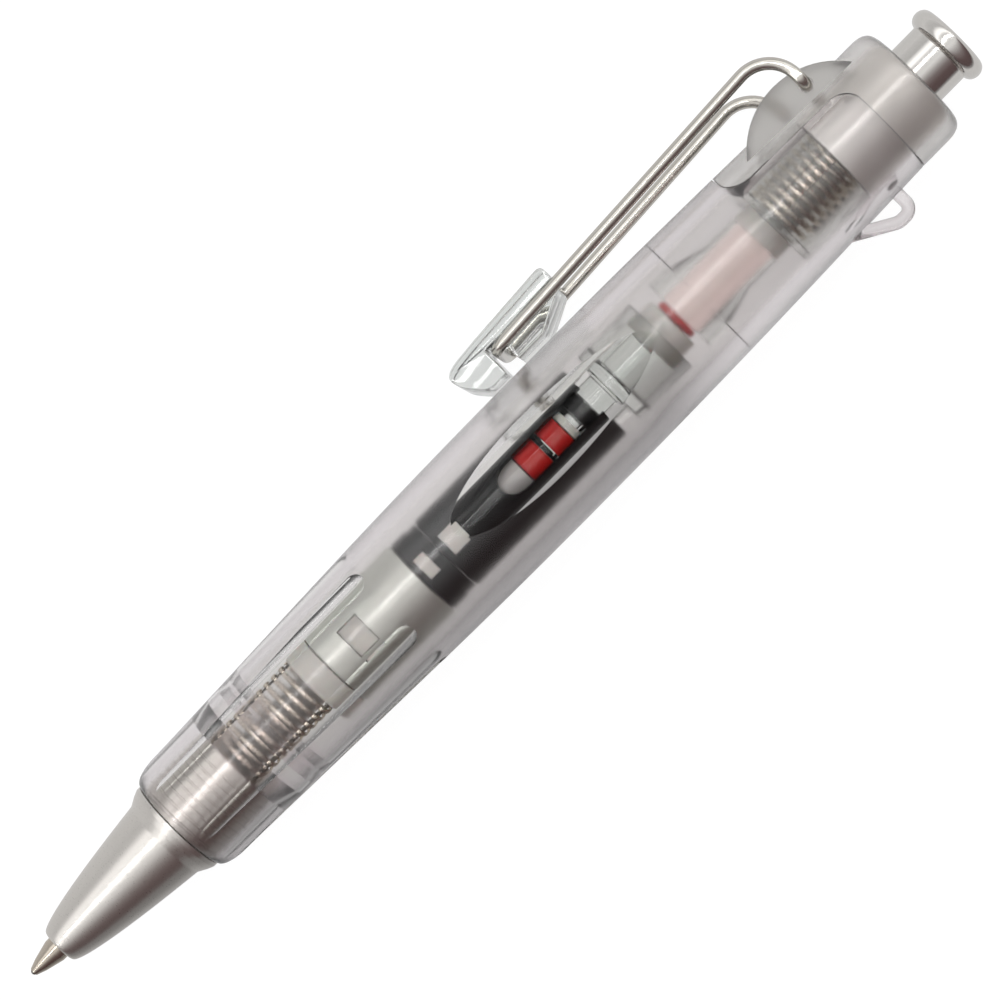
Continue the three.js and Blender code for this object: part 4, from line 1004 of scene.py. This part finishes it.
coupler = {"front": 53.6, "step": 55.5, "rear": 56.7, "bore": 1.7, "radius": 4.28, "stepRadius": 4.14}
turnedPiece(
    "couplerRing",
    [
        (coupler["front"], coupler["bore"], 0.1),
        (coupler["rear"], coupler["bore"], 0.1),
        (coupler["rear"], coupler["stepRadius"], 0.1),
        (coupler["step"], coupler["stepRadius"], 0.1),
        (coupler["step"], coupler["radius"], 0.15),
        (coupler["front"], coupler["radius"], 0.25),
    ],
    blackAcetal, "carriage", "coupler_ring", "black_plastic",
)

valve = {
    "front": 56.8, "rear": 77.0, "bore": 3.33, "radius": 4.28, "boreEdge": 0.1, "edge": 0.2,
    "slotLength": 12.3, "slotWidth": 4.1, "drillMiddle": 5, "drillLength": 8,
}
valveSleeve = turnedDraft(ringProfile(valve), blackAcetal, 128)
for side in (1, -1):
    half = valve["slotWidth"] / 2
    slotX = valve["rear"] - valve["slotLength"] + half
    ends = sorted((0, side * pastWalls))
    roundEnd = peg((slotX, 0, side * valve["drillMiddle"]), half, valve["drillLength"], across=True, sides=64)
    straight = box(slotX, valve["rear"] + overcut, -half, half, *ends)
    combined(valveSleeve, "DIFFERENCE", draft(roundEnd, [blackAcetal]), draft(straight, [blackAcetal]))
placed(valveSleeve, "valveSleeve", "carriage", "valve_sleeve", slot="black_plastic")

stack = {"bore": 1.7, "radius": 3.23}  # shared by the rings inside the valve's sleeve
plug = {**stack, "front": 62.5, "coneFront": 62.9, "coneRear": 64.8, "rear": 67.5, "face": 2.2, "cone": 2.4}
turnedPiece(
    "inletPlug",
    [
        (plug["front"], plug["bore"]),
        (plug["rear"], plug["bore"]),
        (plug["rear"], plug["radius"], 0.1),
        (plug["coneRear"], plug["radius"], 1.2),
        (plug["coneFront"], plug["cone"], 0.3),
        (plug["front"], plug["face"], 0.1),
    ],
    milkyStyrene, "carriage", "inlet_plug", "clear_plastic",
)
seal = {**stack, "edge": 0.35}
frontSeal = {**seal, "front": 67.6, "rear": 70.2}
rearSeal = {**seal, "front": 70.9, "rear": 73.1}
turnedPiece("frontSeal", ringProfile(frontSeal), redSilicone, "carriage", "front_seal", "red_rubber")
turnedPiece("rearSeal", ringProfile(rearSeal), redSilicone, "knock", "rear_seal", "red_rubber")

# Black pin between the seals, carrying a black collar: a disc that stands as painted shade in the gap between
# them; and the white core's nubs in the black parts
pin = {"front": 69.85, "rear": 70.8, "radius": 1.65, "collar": (70.25, 70.55), "collarRadius": 2.9}
pinProfile = [
    (pin["front"], 0),
    (pin["front"], pin["radius"]),
    (pin["collar"][0], pin["radius"]),
    (pin["collar"][0], pin["collarRadius"], 0.08),
    (pin["collar"][1], pin["collarRadius"], 0.08),
    (pin["collar"][1], pin["radius"]),
    (pin["rear"], pin["radius"], 0.1),
    (pin["rear"], 0),
]
placed(turnedDraft(pinProfile, blackAcetal), "sealPinWithShadeCollar", "carriage", slot="black_plastic")
latches = {
    "rows": ((54.2, 55.5), (57.5, 59.5)), "halfWidth": 1.15, "inside": 3.5, "outside": 4.32,
    "edge": 0.08,
}
for side in (1, -1):
    for x0, x1 in latches["rows"]:
        depth = sorted((side * latches["inside"], side * latches["outside"]))
        nub = draft(box(x0, x1, -latches["halfWidth"], latches["halfWidth"], *depth), [whiteAcetal])
        softened(nub, latches["edge"], 3)
        name = f"latchNub{'Near' if side > 0 else 'Far'}{round(x0)}"
        placed(nub, name, "carriage", edge=35, slot="white_plastic")
print("carriage made")

# Knock group: what slides with the button
spacer = {**stack, "front": 73.2, "rear": 74.0, "edge": 0.1}
turnedPiece("sealSpacer", ringProfile(spacer), whiteAcetal, "knock", "seal_spacer", "white_plastic")
retainer = {**stack, "front": 74.7, "rear": 76.4, "edge": 0.15}
turnedPiece("retainingRing", ringProfile(retainer), blackAcetal, "knock", "retaining_ring", "black_plastic")

cylinder = {
    "front": 71.2, "stemRadius": 1.6, "seat": 76.5, "seatRadius": 3.23, "shoulder": 78.8, "radius": 4.2,
    "floor": 80.0, "bore": 3.3, "rear": 85.8,
}
turnedPiece(
    "airCylinder",
    [
        (cylinder["front"], 0),
        (cylinder["front"], cylinder["stemRadius"], 0.2),
        (cylinder["seat"], cylinder["stemRadius"]),
        (cylinder["seat"], cylinder["seatRadius"], 0.2),
        (cylinder["shoulder"], cylinder["seatRadius"]),
        (cylinder["shoulder"], cylinder["radius"], 0.3),
        (cylinder["rear"], cylinder["radius"], 0.15),
        (cylinder["rear"], cylinder["bore"], 0.15),
        (cylinder["floor"], cylinder["bore"], 0.5),
        (cylinder["floor"], 0),
    ],
    clearStyrene, "knock", "air_cylinder", "clear_plastic",
)

piston = {"front": 84.2, "lip": (85.6, 85.8), "rear": 87.4, "bore": 1.3, "radius": 3.2, "neckRadius": 2.9}
turnedPiece(
    "pistonHead",
    [
        (piston["front"], piston["bore"]),
        (piston["rear"], piston["bore"]),
        (piston["rear"], piston["neckRadius"], 0.15),
        (piston["lip"][1], piston["neckRadius"]),
        (piston["lip"][0], piston["radius"], 0.1),
        (piston["front"], piston["radius"], 0.3),
    ],
    whiteAcetal, "knock", "piston_head", "white_plastic",
)

rodSeal = {"front": 87.5, "rear": 88.2, "bore": 1.3, "radius": 2.2, "edge": 0.3}
turnedPiece("rodSeal", ringProfile(rodSeal), redSilicone, "knock", "rod_seal", "red_rubber")
rod = {"front": 88.3, "rear": 98.3, "bore": 1.9, "radius": 2.35, "edge": 0.15}
turnedPiece("pistonRod", ringProfile(rod), pinkTube, "knock", "piston_rod", "pink_clear")

core = {"front": 84.4, "rear": 101.9, "radius": 1.2}
coreProfile = [
    (core["front"], 0),
    (core["front"], core["radius"], 0.1),
    (core["rear"], core["radius"], 0.15),
    (core["rear"], 0),
]
placed(turnedDraft(coreProfile, whiteAcetal), "rodCore", "knock", slot="white_plastic")

housing = {"front": 88.3, "cone": (90.3, 94.7), "rear": 98.3, "bore": 2.45, "radius": 4.1, "neckRadius": 2.85}
turnedPiece(
    "rearHousing",
    [
        (housing["front"], housing["bore"]),
        (housing["rear"], housing["bore"]),
        (housing["rear"], housing["neckRadius"], 0.1),
        (housing["cone"][1], housing["neckRadius"]),
        (housing["cone"][0], housing["radius"], 0.3),
        (housing["front"], housing["radius"], 0.2),
    ],
    clearStyrene, "knock", "rear_housing", "clear_plastic",
)

rearSpring = {
    "front": 101.2, "length": 7.8, "coilRadius": 3.2, "wireRadius": 0.26, "turns": 8.5, "close": 0.5,
}
windSpring(rearSpring, "rearSpring", ("barrel", "knock"), "rear_spring")

guide = {"front": 100.3, "rear": 108.9, "lip": 0.8, "lipRadius": 2.97, "bore": 4.1, "radius": 5.0}
guideSlots = {"count": 3, "width": 1.4, "length": 6.2}
guideTube = turnedDraft(
    [
        (guide["front"], guide["lipRadius"], 0.1),
        (guide["front"] + guide["lip"], guide["lipRadius"], 0.1),
        (guide["front"] + guide["lip"], guide["bore"]),
        (guide["rear"], guide["bore"], 0.1),
        (guide["rear"], guide["radius"], 0.15),
        (guide["front"], guide["radius"], 0.15),
    ],
    clearStyrene,
)
half = guideSlots["width"] / 2
for i in range(guideSlots["count"]):
    ends = (guide["rear"] - guideSlots["length"], guide["rear"] + overcut)
    cutter = box(*ends, -half, half, 0, guide["radius"] + overcut)
    combined(guideTube, "DIFFERENCE", draft(turnedBy(cutter, 360 * i / guideSlots["count"]), [clearStyrene]))
placed(guideTube, "guideTube", "barrel", "guide_tube", slot="clear_plastic")

bush = {"front": 109.0, "step": 116.1, "rear": 119.3, "bore": 4.0, "stepBore": 3.48, "radius": 4.9}
turnedPiece(
    "knockBush",
    [
        (bush["front"], bush["bore"], 0.15),
        (bush["step"], bush["bore"]),
        (bush["step"], bush["stepBore"], 0.15),
        (bush["rear"], bush["stepBore"], 0.15),
        (bush["rear"], bush["radius"], 0.2),
        (bush["front"], bush["radius"], 0.2),
    ],
    mattAluminium, "barrel", "knock_bush", "satin_silver", sides=128,
)

button = {
    "inner": 109.1, "rear": 125.4, "headFront": 123.3, "radius": 3.33, "headRadius": 4.2,
    "faceRadius": 3.3, "socketRadius": 2.1, "socketEnd": 4.2, "flangeRadius": 3.85, "flangeLength": 1.4,
    "headArc": (12, 172),
}
headHalf = (button["rear"] - button["headFront"]) / 2
rim = button["headRadius"] - button["faceRadius"]
socketRear = button["rear"] - button["socketEnd"]
flangeRear = button["inner"] + button["flangeLength"]
buttonProfile = [
    (socketRear, 0),
    (socketRear, button["socketRadius"]),
    (button["inner"], button["socketRadius"], 0.1),
    (button["inner"], button["flangeRadius"], 0.15),
    (flangeRear, button["flangeRadius"], 0.15),
    (flangeRear, button["radius"], 0.15),
    (button["headFront"], button["radius"], 0.12),
]
buttonProfile += [
    (button["rear"] - headHalf - headHalf * math.cos(a), button["faceRadius"] + rim * math.sin(a))
    for a in ramp(*map(math.radians, button["headArc"]), 20)
]
buttonProfile.append((button["rear"], 0))
turnedPiece("button", buttonProfile, brightChrome, "knock", "button", "satin_silver", sides=128, edge=45)
print("knock group made")

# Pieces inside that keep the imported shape
for node in ("tip_adapter", "sleeve_core", "cam_rotor", "push_rod"):
    for materialSlot in frame["nodes"][node].material_slots:
        materialSlot.material = whiteAcetal

# Table: white, lit mostly from within so that it stays as white as the photograph's
table = {
    "size": 3.0, "glow": 0.95, "tone": "#5A5A5A", "poolSpan": 0.06, "rearShift": 0.06,
    "shiftFrom": 0.02, "shiftTo": 0.045,
}
# Painted shade: the glow the pen sees from the table, set by y across it and darker on the -y side, where the
# pen's shadow would fall.
shadePools = [(-0.026, 0.15), (-0.014, 0.34), (-0.005, 0.56), (0.006, 0.68), (0.03, 0.62)]  # its glow by its y
tableShape = bmesh.new()
bmesh.ops.create_grid(tableShape, x_segments=1, y_segments=1, size=table["size"])
tableMesh = bpy.data.meshes.new("table")
tableShape.to_mesh(tableMesh)
tableShape.free()
whiteBoard, tree, shader, place = startMaterial("whiteBoard", Roughness=0.9)
shader.inputs["Base Color"].default_value = linear(table["tone"])
shader.inputs["Emission Color"].default_value = (1, 1, 1, 1)
spotOnTable = addNode(tree, "ShaderNodeSeparateXYZ", {0: place})
# Towards the rear, the painted shade is shifted out to -y.
shift = mapped(tree, spotOnTable.outputs["X"], table["shiftFrom"], table["shiftTo"], 0.0, table["rearShift"])
across = addNode(tree, "ShaderNodeMath", {0: spotOnTable.outputs["Y"], 1: shift}, operation="ADD")
shadePoolSpot = mapped(tree, across.outputs[0], -table["poolSpan"] / 2, table["poolSpan"] / 2)
shadePool = addNode(tree, "ShaderNodeValToRGB", {"Fac": shadePoolSpot})
fillRamp(shadePool.color_ramp, [(y / table["poolSpan"] + 0.5, level, 0) for y, level in shadePools])
direct = addNode(tree, "ShaderNodeLightPath").outputs["Is Camera Ray"]
shown = addNode(tree, "ShaderNodeMix", {0: direct, 2: shadePool.outputs[0], 3: table["glow"]}, data_type="FLOAT")
tree.links.new(shown.outputs[0], shader.inputs["Emission Strength"])
tableMesh.materials.append(whiteBoard)
tableTop = bpy.data.objects.new("tableTop", tableMesh)
scene.collection.objects.link(tableTop)

# Light: the whole sky is a row of soft boxes that run along the pen, given by the angle from straight up
# towards the clip, in degrees, how bright each is and how warm.
sky = [
    (-180, 0.1, 0.2),
    (-100, 0.1, 0.3),
    (-60, 0.14, 0.3),
    (-40, 0.25, 0.16),
    (-25, 0.5, 0.04),
    (-8, 1.0, 0),
    (2, 0.9, 0),
    (12.9, 0.7, 0),
    (13.2, 14.0, 0),
    (15.4, 14.0, 0),
    (15.7, 0.7, 0),
    (28, 0.8, 0),
    (33, 1.7, 0),
    (44, 1.6, 0),
    (56, 0.6, 0),
    (92, 0.75, 0),
    (110, 0.75, 0),
    (180, 0.5, 0),
]
world = bpy.data.worlds.new("softBoxes")
scene.world = world
world.use_nodes = True
tree = world.node_tree
tree.nodes.clear()
way = addNode(tree, "ShaderNodeSeparateXYZ", {0: addNode(tree, "ShaderNodeTexCoord").outputs["Generated"]})
lean = addNode(tree, "ShaderNodeMath", {0: way.outputs["Y"], 1: way.outputs["Z"]}, operation="ARCTAN2")
boxes = addNode(tree, "ShaderNodeValToRGB", {"Fac": mapped(tree, lean.outputs[0], -math.pi, math.pi)})
brightest = max(level for _, level, _ in sky)
stops = [((degrees + 180) / 360, level / brightest, warmth) for degrees, level, warmth in sky]
fillRamp(boxes.color_ramp, stops)
glow = addNode(tree, "ShaderNodeBackground", {"Color": boxes.outputs["Color"], "Strength": brightest})
backdrop = addNode(tree, "ShaderNodeBackground", {"Color": (1, 1, 1, 1), "Strength": 1.0})
seen = addNode(tree, "ShaderNodeLightPath").outputs["Is Camera Ray"]
both = addNode(tree, "ShaderNodeMixShader", {0: seen, 1: glow.outputs[0], 2: backdrop.outputs[0]})
addNode(tree, "ShaderNodeOutputWorld", {"Surface": both.outputs[0]})

# Camera: 482 mm above the pen and 21 mm behind its middle, where it looks; the pen runs up to the right
view = {
    "height": 0.482, "setback": 0.0214, "turn": -45.44, "frameWidth": 0.09524, "sensor": 36,
    "aim": (0.00115, -0.0001),
}
camera = bpy.data.cameras.new("camera")
reach = math.hypot(view["height"], view["setback"])
camera.lens = view["sensor"] * reach / view["frameWidth"]
camera.sensor_width = view["sensor"]
camera.clip_start = 0.01
camera.clip_end = 10
cameraObject = bpy.data.objects.new("camera", camera)
aim = Vector((view["aim"][0], axisPoint.y + view["aim"][1], axisPoint.z))
cameraObject.location = aim + Vector((view["setback"], 0, view["height"]))
tip = Matrix.Rotation(math.atan2(view["setback"], view["height"]), 4, "Y")
cameraObject.rotation_euler = (tip @ Matrix.Rotation(math.radians(view["turn"]), 4, "Z")).to_euler()
scene.collection.objects.link(cameraObject)
scene.camera = cameraObject

scene.view_settings.view_transform = "Standard"
scene.view_settings.look = "None"
scene.view_settings.exposure = 0
scene.view_settings.gamma = 1
print("light and camera set")
